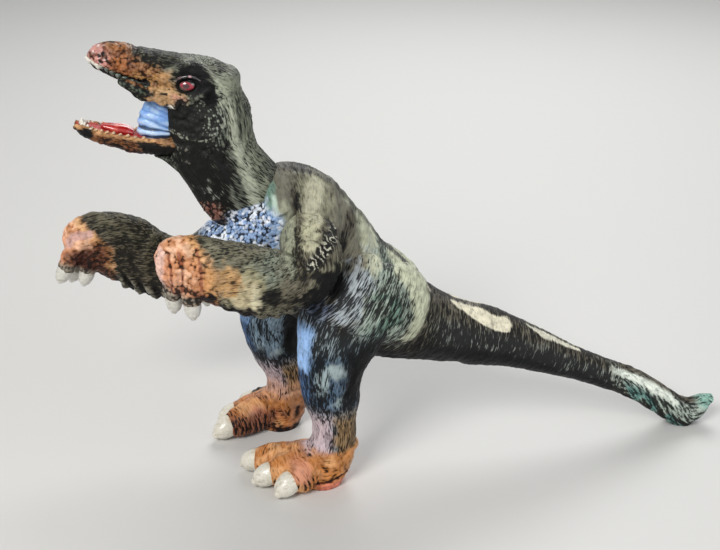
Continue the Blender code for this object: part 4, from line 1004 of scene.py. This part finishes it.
def tooth_row(lip, side_up, teeth, tall, stout, front):
    """Teeth round a lip, each a cone with a round base: its middle line runs from the gum to the tip.

    The lip is x = tip + reach·|t|^1.6, y = half width·sin(135°·t), with t from -1 to 1 and the angle
    held at 90°. The teeth within a fifth of its front are longer by the share front.
    """
    random = np.random.default_rng(71 + side_up)
    t = np.linspace(-1, 1, teeth)
    x = lip["tip"][0] + lip["reach"] * np.abs(t) ** 1.6
    y = lip["half_width"] * np.sin(np.radians(90 * np.clip(1.5 * t, -1, 1)))
    z = lip["tip"][1] + lip["slope"] * (x - lip["tip"][0])
    size = tall * random.uniform(0.6, 1.15, teeth) * (1 + front * np.exp(-(t / 0.2) ** 2))
    girth = stout * random.uniform(0.8, 1.2, teeth)
    rows, sides = 9, 12
    share = np.linspace(0, 1, rows)[None, :, None]
    taper = np.r_[0, np.sqrt(np.clip(1 - np.linspace(0, 1, rows - 2) ** 1.5, 0.02, 1)), 0][None, :, None]
    angle = np.linspace(0, 2 * np.pi, sides, endpoint=False)[None, None]
    size, girth, x, y, z = (value[:, None, None] for value in (size, girth, x, y, z))
    grids = np.stack(np.broadcast_arrays(
        x + 0.25 * size * share + girth * taper * np.cos(angle),
        y * (1 - 0.06 * share) + girth * taper * np.sin(angle) * side_up,
        z + side_up * (size * share - 0.45)), axis=-1)
    each = len(grid_points(grids[0]))
    faces = grid_faces(rows, sides)[None] + np.arange(teeth)[:, None, None] * each
    return np.vstack([grid_points(grid) for grid in grids]), faces.reshape(-1, 4)


TOOTH_PAINT = gloss_paint("tooth_paint", 0.28, 0.03, 1600, 0.4)
TEETH_IN_A_ROW = 25
for name, lip, side_up, tall, stout, front, body, gum_colour, bare_to in (
    ("upper_teeth", UPPER_LIP, -1, 2.1, 0.85, 0.45, "figure", "37443b", 3.4),
    ("lower_teeth", LOWER_LIP, 1, 0.75, 0.6, 1.6, "jaw", "c79f76", 3.0),
):
    points, faces = tooth_row(lip, side_up, TEETH_IN_A_ROW, tall, stout, front)
    behind = points[:, 0] - lip["tip"][0] + 0.8 * mottle(points / 1.5, 72)
    paint = Paint(points, "dcd9cf", 1.0)
    paint.brush(gum_colour, 1, ease(behind, bare_to - 1, bare_to + 1) * 0.96)
    paint.brush("a9b3a6", 1, ease(mottle(points / 0.7, 73), 0.3, 0.6) * 0.5)
    skin_piece(f"{name}_row", points, faces, paint, points, 0, TOOTH_PAINT, body, "tooth_white", name)

# The legs: each one casting of thigh, shank, foot and three toes, plugged into the hip. Thighs are
# navy with upright pale strokes, ankles lilac, feet orange and wrinkled. The claws are pressed in.

LEGS = {
    "left": [
        (26.2, -9.5, 70.6, 4, 5), (24.5, -12, 66, 7, 10), (21, -14.5, 58, 9.3, 14),
        (17.5, -16.3, 50, 9.8, 13), (15.2, -17, 41.5, 9, 10.5), (14.6, -17, 34, 8.2, 9.1),
        (15, -17, 27.5, 7.2, 8.3), (15.4, -17, 21.5, 6.2, 6.8), (15.4, -17.2, 15.5, 6, 6.7),
        (14, -17.5, 9, 6.6, 7.4), (11.8, -18, 3, 6.8, 6.6), (11, -18, -1.5, 6, 6),
    ],
    "right": [
        (23, 10, 69, 4, 5), (20, 12, 65, 7, 10), (11.5, 14.5, 57.5, 9.3, 14),
        (4, 16.3, 49, 9.8, 13.2), (-0.3, 17, 41, 9, 10.6), (0, 17, 34, 8.2, 9.3),
        (1.5, 17, 27, 7.2, 8.4), (3.3, 17, 21, 6.2, 7), (3.9, 17, 15, 6, 6.8),
        (3, 17, 9, 6.6, 7.4), (1.4, 17, 3, 6.8, 6.6), (0.6, 17, -1.5, 6, 6),
    ],
}
CALF_ROW, ANKLE_ROW, FOOT_ROW = 4, -4, -3
TOES = {  # x and y of each claw's tip
    "left": ((-12.6, -9.4), (-9.4, -19.8), (-2.8, -27.4)),
    "right": ((-20.6, 8.0), (-18.8, 17.4), (-11.4, 27.6)),
}
DIGITS = ("inner", "middle", "outer")
TOE_RADIUS, SOLE_FLAT, SOLE_GAP = 4.9, 0.4, 0.03
TOE_CLAW_RADIUS, TOE_CLAW_LENGTH = 3.6, 6.5
WRINKLE_PITCH = 1.75
ASLANT = dict(lateral=(0.4, 0.9, 0))  # a sideways direction that no claw, finger or lock runs along


def toe_rows(ankle, tip):
    """One toe's rows from inside the foot to its claw, with the claw's root and point."""
    heel = np.array((ankle[0] - 2.0, ankle[1], TOE_RADIUS + 2.2))
    point = np.array((*tip, TOE_CLAW_RADIUS * 0.6))
    flat = point - heel
    flat[2] = 0
    flat = unit(flat)
    root = point - flat * TOE_CLAW_LENGTH
    root[2] = TOE_RADIUS - SOLE_FLAT
    rows = []
    for share, wide, tall in ((0.0, 1.0, 1.5), (0.5, 0.95, 1.25), (0.88, 1.0, 1.05)):
        rows.append((*(heel + (root - heel) * share), TOE_RADIUS * wide, TOE_RADIUS * tall))
    rows.append((*(root + flat * 1.2), TOE_RADIUS * 0.8, TOE_RADIUS * 0.8))
    return rows, root, point


def ivory_claw(name, root, point, radius, body, base, tip_colour, droop=0.6):
    """A painted claw: a full cone from inside its socket to a blunt tip, whose middle line bows upward
    by a sine. Its root's colour fades into ivory, with faint grooves along it."""
    inner = root - unit(point - root) * 2.5
    share = np.array((0, 0.2, 0.4, 0.55, 0.7, 0.82, 0.92, 1.0))
    girth = np.array((0.7, 0.88, 1.0, 1.0, 0.93, 0.81, 0.64, 0.36)) * radius
    bow = np.array((0, 0, droop)) * np.sin(np.pi * share)[:, None]
    middle = inner + (point - inner) * share[:, None] + bow
    points, faces = limb(np.c_[middle, girth * 0.92, girth], 44, 40, (0.2, 0.8), **ASLANT)
    along = ((points - root) @ (point - root)) / ((point - root) @ (point - root))
    flow = np.stack((along * 1.2, points[:, 1] / 0.7, points[:, 2] / 0.7), axis=1)
    grooves = mottle(flow, 81)
    paint = Paint(points, base, 1.0)
    paint.brush(tip_colour, 1, ease(along + 0.12 * grooves, -0.15, 0.3))
    paint.brush("6b5a44", 1, ease(-grooves, 0.35, 0.7) * 0.3)
    points = points + facing(points, faces) * (0.07 * grooves)[:, None]
    if body == "figure":
        points[:, 2] = np.maximum(points[:, 2], FLOOR_GAP)
    skin_piece(f"{name}_nail", points, faces, paint, flow, 0, CLAW_PAINT, body, "claw_ivory", name)


def waves(along, pitch, phase=0.0):
    """A cosine along a length in mm, with a crest every pitch mm."""
    return np.cos(along * 2 * np.pi / pitch + phase)


CLAW_PAINT = gloss_paint("claw_paint", 0.3, 0.04, 1300, 0.35)
LEG_PLASTIC = painted_plastic("painted_legs_plastic", 1.5)
for side, sign in (("left", -1), ("right", 1)):
    thigh = LEGS[side]
    calf_x, ankle_x = thigh[CALF_ROW][0], thigh[ANKLE_ROW][0]
    toes = [toe_rows(thigh[FOOT_ROW], tip) for tip in TOES[side]]
    points, faces = melt([limb(thigh, 120, 72)] + [limb(rows) for rows, _, _ in toes], 0.37)
    lies, nearest, shares = nearest_lie(points, [(thigh, {})] + [(rows, {}) for rows, _, _ in toes])
    x, y, z = points.T
    leg = lies[0]
    on_toe = ease(shares[1:].sum(axis=0), 0.2, 0.6) * ease(ankle_x - x, -1, 3)
    front = ease(-upness(leg), 0.68, 0.9)
    behind = ease(upness(leg), 0.0, 0.7)
    # strokes run down the leg, then across the foot and round each toe, where the skin wrinkles
    past_ankle = np.maximum(12.0 - z, 0)
    turned = ease(past_ankle, 0, 3)
    flow = np.stack((leg[:, 0] / 3.2 * (1 - turned) + past_ankle / 0.8, leg[:, 1] / (0.48 + 2.5 * turned),
                     leg[:, 2] / (0.48 + 2.5 * turned)), axis=1)
    wrinkle = np.zeros(len(points))
    for number, (toe_lie, share) in enumerate(zip(lies[1:], shares[1:]), 1):
        s = toe_lie[:, 0] + 0.9 * mottle(points / 3, 85)
        wrinkle += share * waves(s, WRINKLE_PITCH) * ease(toe_lie[:, 2], -2.5, 0.5)
        flow = np.where((nearest == number)[:, None], toe_lie / (0.7, 3.0, 3.0), flow)
    round_heel = waves(z + 0.12 * leg[:, 1] ** 2 + mottle(points / 3, 86), WRINKLE_PITCH)
    wrinkle += shares[0] * round_heel * (1 - ease(z, 11, 16)) * (1 - ease(x, ankle_x - 4, ankle_x + 2))
    blots = mottle(points / 3.4, 87 + sign)
    small = mottle(points / 1.4, 89 + sign)
    ragged = 0.3 * blots + 0.25 * small + 0.15 * mottle(flow / 2, 91)
    foot = ease(13.0 - z + 2 * ragged, -1.5, 2.0)
    fluff = ease(z, 22, 30)
    rise = fluff * (0.2 * (ridged(flow, 2.0, 82 + sign) - 0.6) + 0.3 * mottle(points / 4.5, 84)) + 0.1 * small
    rise += foot * ease(z, 0.5, 2.5) * (0.17 * wrinkle + 0.14 * small)
    rise += (1 - foot) * (1 - fluff) * 0.16 * (ridged(flow, 3.0, 95) - 0.6)
    rise += 0.9 * sprayed(points, ankle_x + 7.4, 12.2, 1.8, 1.4, 0, 0.5)
    rise += welts(points, 0.7, (((calf_x - 1, 46), (calf_x + 1.5, 38), (calf_x - 1, 30)), 4.0, 0.7),
                  (((calf_x + 4.5, 47), (calf_x + 5.5, 40), (calf_x + 3, 33)), 1.8, -0.5))
    rise += welts(points, 0.6, (((calf_x - 5, 46), (calf_x - 4.6, 38), (calf_x - 4.4, 30)), 1.4, -0.4))
    if side == "right":
        # the far thigh is set back where the far forearm passes it
        rise -= 0.9 * ease(z, 47, 53) * ease(y, 11, 14)

    # the thigh: dark over a grey ground, and the trunk's own paint above it
    paint = Paint(points, "8c9aa0", 0.3)
    paint.brush("4a5f74", 0.34, ease(50.0 - z + 3 * ragged, 0, 5) * fluff)
    trunk_lie, _ = lie_of(points, TRUNK, up=TRUNK_UP)
    flank_flow = trunk_flow(trunk_lie)
    flank, _ = trunk_paint(points, trunk_lie, flank_flow, rise)
    thigh_top = 50 if side == "left" else 53
    share = ease(z + 0.4 * (x - calf_x) + 4 * ragged, thigh_top, thigh_top + 10)
    paint.coat = paint.coat + (flank.coat - paint.coat) * share[:, None]
    paint.cover = paint.cover + (flank.cover - paint.cover) * share
    flow = np.where((z + 0.4 * (x - calf_x) > 56)[:, None], flank_flow, flow)
    for patch_x, patch_z, wide, tall, turn in (
        (-4.0, 37.5, 1.7, 5.6, -8), (0.8, 42.6, 3.4, 2.2, 10),
        (3.4, 32.2, 4.2, 1.7, 24), (6.2, 36.0, 1.5, 3.0, 0),
    ):
        paint.spray("93a3a6", 0.64, calf_x + patch_x, patch_z, wide, tall, turn, 0.5, 1.2 * ragged, 0.9)
    # the back of the leg brushed dark: its own dark slate paint and painted shadow under the rump
    paint.brush("2b3338", 0.2, behind * ease(z, 26, 32) * (1 - ease(z, 46, 54)))
    if side == "right":
        paint.brush("8aa2b4", 0.46, ease(z, 30, 36) * (1 - behind) * (1 - share))
        # painted shade on the far leg's inner back, which faces the near leg
        paint.brush("26303c", 0.05, behind * ease(z, 26, 32) * (1 - share) * (1 - ease(y, 15, 19)))
        strokes = behind * ease(z, 34, 40) * (1 - share) * ease(y, 16, 20)
        paint.brush("6f8496", 0.4, strokes * ease(blots, -0.3, 0.3))
    # the blue strip down the front, then the lilac and tan shank
    strip = front * ease(z + 2 * ragged, 28, 32) * (1 - ease(z + 2 * ragged, 53, 57))
    paint.brush("3c5f8c", 0.5, strip)
    paint.brush("8db4e6", 0.9 if side == "left" else 0.5, strip * ease(z + 3 * ragged, 39, 42))
    shin = (1 - fluff) * ease(z, 9, 13)
    paint.brush("bdabb2", 0.66, shin * ease(-leg[:, 2] + 2 * ragged, -1.0, 2.5))
    paint.brush("8f7350", 0.56, shin * ease(leg[:, 2] + 3 * ragged, -1.5, 1.0))
    if side == "right":
        paint.brush("c49070", 0.66, shin * (1 - ease(z + 3 * ragged, 15, 22)) * 0.8)
    # the foot: orange with paler blots, its heel and sole in tones of their own, dark in its folds; the far
    # foot's are darker as painted shade
    paint.brush("b6743a", 0.76, foot)
    paint.brush("d29a66", 0.82, foot * ease(blots + 0.5 * small, 0.0, 0.5) * 0.8)
    heel = foot * ease(x, ankle_x - 3, ankle_x + 2) * (1 - on_toe)
    sole = foot * (1 - ease(z + 0.8 * small, 1.6, 3.4)) * ease(x, ankle_x - 8, ankle_x - 4)
    # the near foot has a tan heel and a salmon sole; the far foot's heel and sole rim are dark brown as
    # painted shade
    heel_tone, heel_pale, sole_tone, sole_cover = {
        "left": ("c07c3c", 0.8, "d0765c", 0.85), "right": ("8f5a34", 0.4, "5a2f1f", 0.4)}[side]
    paint.brush(heel_tone, 0.93, heel)
    paint.brush("d89f60", 0.95, heel * ease(blots, 0.0, 0.4) * heel_pale)
    paint.spray("c98878", 0.8, ankle_x - 11, 8, 3, 3, 0, 0.5, ragged, 0.5 * foot)
    paint.brush(sole_tone, sole_cover, sole)
    if side == "right":
        # painted shade: the lower part of the far foot's toes in dark red brown
        paint.brush("7d4a38", 0.5, on_toe * ease(-z, -11, -7) * 0.85)
        paint.brush("565a4c", 0.5, on_toe * ease(y, 19.5, 22) * ease(z, 4.5, 7.5))
    paint.brush("4a2413", 0.35, foot * ease(-wrinkle, 0.45, 0.85) * ease(z, 1.5, 3.5) * (0.4 + 0.45 * on_toe))
    sole_edge = ((ankle_x + 8.5, 8.0), (ankle_x + 5.0, 5.2), (ankle_x - 1, 3.6), (ankle_x - 6, 2.8))
    crease = brushed(points, sole_edge, 0.9, 0.5)
    rise -= 0.25 * crease
    paint.brush("5a1c10", 0.5, crease * ease(np.abs(y), 18, 20) * 0.85)
    paint.cover = paint.cover + 0.4 * rise
    points = points + facing(points, faces) * rise[:, None]
    points[:, 2] = np.maximum(points[:, 2], SOLE_GAP)
    skin_piece(f"{side}_leg_casting", points, faces, paint, flow, foot * (1 - on_toe) * 0.4, LEG_PLASTIC,
               "figure", "painted_legs", f"{side}_leg")
    for digit, (_, root, point) in zip(DIGITS, toes):
        base = "d08f3c" if (side, digit) == ("left", "outer") else "c9a77a"
        ivory_claw(f"{side}_{digit}_toe_claw", root, point, TOE_CLAW_RADIUS, "figure", base, "d9d5c8")

# The arms: each one casting of shoulder, upper arm, forearm and three fingers, on a plastic swivel
# peg. The forearms are feathered in khaki and black, the hands orange with rows of beads.

ARMS = {  # the upper arm, the forearm, each finger's knuckle and tip, and the beaded rows of the hand
    "left": (
        [(9.5, -17.5, 84, 3, 4), (9.5, -19.5, 80, 5, 8), (9, -22, 75, 6, 8.5), (5.5, -24, 70.5, 6, 8),
         (2, -25.5, 67.5, 4, 5)],
        [(9, -23.5, 71, 3.5, 4), (6, -24, 70, 5.3, 7.5), (-2, -25.5, 71, 6.2, 10),
         (-10, -26.5, 73.8, 6.3, 10.2), (-17, -26.5, 76.2, 6, 9.4), (-24, -25.5, 78, 5.8, 8.8),
         (-29.5, -25, 78, 5, 8), (-32.5, -25, 77.5, 3, 5)],
        (((-29, -23.5, 76), (-29.8, -23.5, 63.5)), ((-24.5, -27, 75), (-24.6, -27.5, 63)),
         ((-20.5, -22.5, 75), (-20.6, -22, 64.5))),
        ([(-28, -28.2, 83), (-28.4, -29.8, 78), (-28.6, -28.6, 72)],
         [(-23.6, -29.2, 84), (-23.8, -30.8, 78), (-23.8, -29.4, 71.5)],
         [(-19.6, -29.6, 83), (-19.8, -30.8, 77), (-19.9, -29.8, 71)]),
    ),
    "right": (
        [(9.5, 17.5, 84, 3, 4), (8.5, 19.5, 80, 5, 8), (3, 22.4, 74.5, 5.8, 8), (-4, 24.2, 69, 5.8, 8),
         (-11, 24.8, 64, 5.6, 7.6), (-15.5, 24.8, 61, 4, 5)],
        [(-7, 24.6, 63.5, 3.5, 4.2), (-12, 24.6, 61.5, 5.6, 7.4), (-20, 24, 57.8, 6.2, 8.8),
         (-30, 22.5, 55.8, 6.3, 10.2), (-39, 21.5, 59.8, 6.2, 10.8), (-46.5, 20.8, 65, 6, 11),
         (-53.5, 20.2, 67.6, 5.6, 9.6), (-59.5, 20, 67.5, 4.6, 7.2), (-62.3, 20, 67, 2.6, 4.6)],
        (((-59, 17, 68), (-65.6, 16.2, 56.5)), ((-57.5, 22, 66), (-62.8, 22.5, 53.8)),
         ((-54.5, 18, 66), (-58.6, 17.6, 54.5))),
        ([(-58.6, 22.6, 72.4), (-59.2, 24.0, 67.5), (-59.6, 23.0, 62.5)],
         [(-54, 23.6, 74.4), (-54.2, 25.2, 67.6), (-54.4, 23.8, 61)],
         [(-49.2, 24.2, 73.4), (-49.4, 25.8, 66), (-49.6, 24.4, 58.6)]),
    ),
}
LOCKS = (  # the feather locks that hang from the far forearm
    [(-46, 20.9, 58.5), (-45, 20.9, 54.0), (-43.2, 20.9, 50.0)],
    [(-41.2, 21.3, 55.5), (-40, 21.3, 51.0), (-38, 21.3, 47.0)],
    [(-36, 21.8, 53), (-34.6, 21.8, 49.0), (-32.4, 21.8, 45.0)],
    [(-30.4, 22.4, 51.8), (-28.9, 22.4, 47.8), (-26.6, 22.4, 44.4)],
    [(-25, 23.2, 53), (-23.5, 23.2, 49.4), (-21.2, 23.2, 46.4)],
)
# each wrist's x, the height above which its edge leans forward, and by how much
WRISTS = {"left": (-17.6, 79.0, 0.6), "right": (-48.8, 67.0, 1.0)}
TUCK_TOPS = {"left": 70, "right": 80}  # how high the inner side is set back
FINGER_RADIUS, HAND_ROW_RADIUS, LOCK_RADIUS = 3.1, 1.4, 2.0
HAND_CLAW_RADIUS, HAND_CLAW_LENGTH = 2.5, 5.5
FACE_LIFT = 0.02  # between an arm's flat inner face and its plane


def pebbles(spot, seed):
    """Round scales: 1 - 1.6·distance² to the nearest of one jittered point in each unit cell."""
    table = np.random.default_rng(seed).uniform(0.12, 0.88, (RANDOM_CELLS, 3))
    cell = np.floor(spot).astype(np.int64)
    nearest = np.full(len(spot), 9.0)
    for step in np.ndindex(3, 3, 3):
        near = cell + step - 1
        nearest = np.minimum(nearest, ((near + table[cell_number(near)] - spot) ** 2).sum(axis=1))
    return np.clip(1 - nearest * 1.6, 0, 1)


def thread(route, radii, rings=24, sides=24):
    """A thin limb along a route of points, with a radius at each."""
    return limb([(*place, radius, radius) for place, radius in zip(route, radii)], rings, sides, **ASLANT)


def near_arm_paint(paint, ragged):
    """The near arm's sprayed patches: green grey and tan over the forearm, the shoulder's bands, and
    near-black painted shade under the forearm and behind the elbow.
    """
    # the near-black sprays at (-12, 65), (9.5, 67) and (13.6, 70.4) are painted shade under the forearm and
    # behind the elbow
    for colour, cover, place_x, place_z, wide, tall in (
        ("7f8676", 0.6, -3.5, 77.0, 6.5, 4.5), ("8f8a6c", 0.74, -8.2, 74.5, 4.2, 4.5),
        ("b3a684", 0.84, -10.5, 70.5, 4.0, 5.0), ("b48d5e", 0.76, -14.6, 76.0, 3.0, 4.6),
        ("c3bb9c", 0.86, -7.2, 68.5, 1.6, 4.4), ("24231d", 0.2, -2.0, 70.0, 3.0, 3.0),
        ("1a1a17", 0.08, -12.0, 65.0, 6.0, 2.2), ("625d4d", 0.6, 4.0, 72.0, 5.0, 8.0),
        ("1b1a16", 0.1, 9.5, 67.0, 4.5, 4.5), ("8e917c", 0.74, 3.6, 83.0, 3.0, 7.0),
        ("4a4537", 0.5, 6.6, 80.0, 2.2, 8.0), ("a9a78c", 0.86, 10.4, 84.0, 3.4, 5.6),
        ("5d594a", 0.66, 15.5, 82.0, 4.0, 5.0), ("16140f", 0.06, 13.6, 70.4, 4.8, 5.4),
    ):
        paint.spray(colour, cover, place_x, place_z, wide, tall, 0, 0.4, 1.2 * ragged)


def near_hand_lines(paint, ragged, small):
    """Brush strokes on the near arm: the pale edge of the hand, the dark lines between its rows, the
    dark above the fingers, and the pale dashed fringe behind the shoulder."""
    paint.stroke("d8b0a2", 0.95, ((-32.0, 83.2), (-32.9, 78.5), (-32.7, 73.3)), 2.0, 0.5, ragged)
    for route, width in (
        (((-27.3, 83.5), (-26.6, 79.5), (-26.9, 72.4)), 1.0),
        (((-22.6, 84.5), (-21.6, 80.0), (-21.8, 73.5)), 0.9),
        (((-30.0, 83.5), (-29.6, 78.0), (-29.8, 72.6)), 0.7),
    ):
        paint.stroke("7c3a20", 0.6, route, width, 0.5, 1.5 * ragged, 0.8)
    knuckle_line = ((-33.5, 70.4), (-30.3, 69.2), (-26.7, 69.4), (-23.0, 69.6), (-18.6, 70.6))
    paint.stroke("26100b", 0.25, knuckle_line, 1.5, 0.5, ragged)
    fringe_line = ((9.0, 77.4), (11.0, 79.2), (13.3, 81.0), (15.6, 82.8), (17.4, 84.9))
    fringe = brushed(paint.points, fringe_line, 3.4, 0.4, 0.6 * ragged)
    dashes = waves(0.78 * paint.points[:, 0] + 0.62 * paint.points[:, 2] + 1.2 * small, 1.4)
    paint.brush("2b261d", 0.15, fringe)
    paint.brush("c9c7b4", 0.85, fringe * ease(dashes, 0.2, 0.7) * 0.9)


ARM_PLASTIC = painted_plastic("painted_arms_plastic", 1.25, 0.42, 0.26, 0.9)
for side, sign in (("left", -1), ("right", 1)):
    upper, fore, fingers, hand_rows = ARMS[side]
    shoulder = [(SHOULDER[0], sign * (SHOULDER_FACE + 7 * depth), SHOULDER[1], 8.5 * girth, 8.5 * girth)
                for depth, girth in ((0.0, 1.0), (0.2, 1.0), (0.75, 0.82), (1.0, 0.45))]
    finger_tables = []
    nails = []
    for knuckle_point, tip in np.array(fingers, float):
        along = unit(tip - knuckle_point)
        root = tip - along * HAND_CLAW_LENGTH
        finger_tables.append([(*knuckle_point, FINGER_RADIUS, FINGER_RADIUS),
                              (*(knuckle_point + (root - knuckle_point) * 0.7), FINGER_RADIUS, FINGER_RADIUS),
                              (*(root + along), FINGER_RADIUS * 0.8, FINGER_RADIUS * 0.8)])
        nails.append((root, tip))
    shapes = [limb(fore, 100, 64), limb(upper), limb(shoulder, lateral=(1, 0, 0), bulge=(0.0, 0.3))]
    shapes += [limb(rows, 40, 40, **ASLANT) for rows in finger_tables]
    shapes += [thread(row, (HAND_ROW_RADIUS,) * 3) for row in hand_rows]
    if side == "right":
        shapes += [thread(lock, (1.1 * LOCK_RADIUS, LOCK_RADIUS, 0.45 * LOCK_RADIUS)) for lock in LOCKS]
    points, faces = melt(shapes, 0.36)
    tables = [(fore, {}), (upper, {}), (shoulder, dict(lateral=(1, 0, 0)))]
    tables += [(rows, ASLANT) for rows in finger_tables]
    lies, nearest, shares = nearest_lie(points, tables)
    x, y, z = points.T
    middle_z, half_tall = (np.interp(-x, [-row[0] for row in fore], [row[i] for row in fore]) for i in (2, 4))
    swept = lies[0][:, 2] - 0.5 * lies[0][:, 0]
    flow = np.stack((lies[0][:, 0] / 1.9, lies[0][:, 1] / 0.55, swept / 0.55), axis=1)
    flow = np.where((nearest == 1)[:, None], lies[1] / (2.6, 0.55, 0.55), flow)
    flow = np.where((nearest == 2)[:, None], points / (0.6, 1.5, 2.6), flow)
    blots = mottle(points / 3.0, 101)
    small = mottle(points / 1.3, 102)
    ragged = 0.3 * blots + 0.3 * small
    wrist_x, lean_from, lean = WRISTS[side]
    past_wrist = wrist_x - lean * np.maximum(z - lean_from, 0) - x
    hand = ease(past_wrist + 2.6 * ragged, -1.5, 2.0)
    hand_underside = hand * ease(middle_z - 0.5 * half_tall - z, -0.5, 2.0)
    digits = shares[3:].sum(axis=0)
    low = ease(middle_z - 0.45 * half_tall - z, 0, 4)
    # feathers whose tips hang below the forearm, and beads on the hand
    tips = waves(x + 0.35 * (z - middle_z), 4.6, 1.2 * blots)
    beads = pebbles(points / (1.75, 1.9, 1.6), 107)
    rise = (1 - hand) * (0.24 * (ridged(flow, 2.2, 104 + sign) - 0.6) + 0.3 * blots + 0.22 * small)
    rise += (1 - hand) * low * (0.7 if side == "right" else 0.3) * tips
    rise += hand * (0.5 * (beads - 0.45) * (1 - 0.5 * hand_underside) + 0.18 * small)
    # the inner side is set back where it passes the thigh
    rise -= 1.1 * ease(24 - np.abs(y), 0, 3) * ease(x, -14, -10) * ease(TUCK_TOPS[side] - z, 0, 2)

    if side == "left":
        paint = Paint(points, "6f6c59", 0.56)
        near_arm_paint(paint, ragged)
    else:
        paint = Paint(points, "5f5746", 0.38)
        paint.brush("5f5a48", 0.5, ease(z - middle_z, 2, 7))
        paint.brush("8a8676", 0.34, low * ease(tips, 0.0, 0.6))
        paint.brush("191611", 0.08, low * ease(-tips, 0.0, 0.6) * 0.8)
        paint.spray("98a08e", 0.5, 6, 79, 9, 8, 0, 0.4, ragged)
    # the hand: orange with pale blots, pink to the fingers, tan at the wrist, and painted shade in dark red
    # brown over its lower side
    paint.brush("c08258", 0.88, hand)
    paint.brush("e4b594", 0.94, hand * ease(blots + 0.6 * small, -0.1, 0.4) * 0.85)
    paint.brush("cb8a68", 0.9, hand * ease(past_wrist + 3 * blots, 9.5, 12.5) * 0.6)
    paint.brush("c99a5a", 0.7, hand * (1 - ease(past_wrist, 1, 5)) * 0.6)
    # painted shade: the lower side of the hand in dark red brown
    paint.brush("5c2a1e", 0.4, hand_underside * (1 - digits) * 0.9)
    if side == "left":
        near_hand_lines(paint, ragged, small)
    else:
        # painted shade: the far hand's inner side sprayed dark red brown
        paint.spray("4c2417", 0.6, -56.2, 63.6, 5.8, 4.6, 15, 0.4, ragged, hand)
        paint.spray("6d4028", 0.55, -51.0, 66.0, 4.0, 4.6, 0, 0.5, ragged, 0.8 * hand)
        paint.stroke("c39a92", 0.9, ((-61.8, 69.2), (-58.6, 71.3), (-55.0, 71.8)), 2.4, 0.5, ragged, 0.9)
    paint.brush("8d8577", 0.6, digits * hand * ease(middle_z - 0.9 * half_tall - z, -1.5, 1.0))
    paint.cover = paint.cover + 0.4 * rise
    points = points + facing(points, faces) * rise[:, None]
    face = SHOULDER_FACE + FACE_LIFT
    inside = (points[:, 0] > SHOULDER[0] - ARM_SWEEP) & (sign * points[:, 1] < face)
    points[:, 1] = np.where(inside, sign * face, points[:, 1])
    body = f"{side}_arm_swivel"
    scaly = hand * (0.75 if side == "left" else 0.35)
    skin_piece(f"{side}_arm_casting", points, faces, paint, flow, scaly, ARM_PLASTIC, body, "painted_hands",
               f"{side}_arm")
    for digit, (root, tip) in zip(DIGITS, nails):
        ivory_claw(f"{side}_{digit}_hand_claw", root, tip, HAND_CLAW_RADIUS, body, "a39a86", "cdcbc4", 0.0)

# The hidden fittings: two plain plastic pegs with barbed ends, on which the arms swivel, and the
# steel pin that the jaw turns on. They are bare, with the marks of turning and drawing.


def bare_fitting(name, colour, roughness, metallic):
    """Unpainted plastic or wire: a faint noise, drawn out along the fitting's axis, in its sheen."""
    finish, shader, bench = new_finish(name)
    drawn = bench.node("ShaderNodeVectorMath", {"operation": "MULTIPLY"},
                       {0: bench.place(), 1: (2600, 240, 2600)})
    marks = bench.noise(drawn, 1.0, 3.0)
    shade = tint(colour)
    tone = bench.blend(marks.step(0.3, 0.7), (*(shade * 0.8), 1), (*shade, 1))
    bench.feed(shader, Base_Color=tone, Roughness=roughness + marks * 0.15)
    shader.inputs["Metallic"].default_value = metallic
    return finish


PEG_FINISH = bare_fitting("peg_plastic", "cfcabf", 0.4, 0.0)
PIN_FINISH = bare_fitting("pin_wire", "a9abae", 0.25, 1.0)
for node, finish in (
    ("left_shoulder_peg", PEG_FINISH), ("right_shoulder_peg", PEG_FINISH), ("jaw_hinge_pin", PIN_FINISH),
):
    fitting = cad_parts[node]
    fitting.data.materials.clear()
    fitting.data.materials.append(finish)
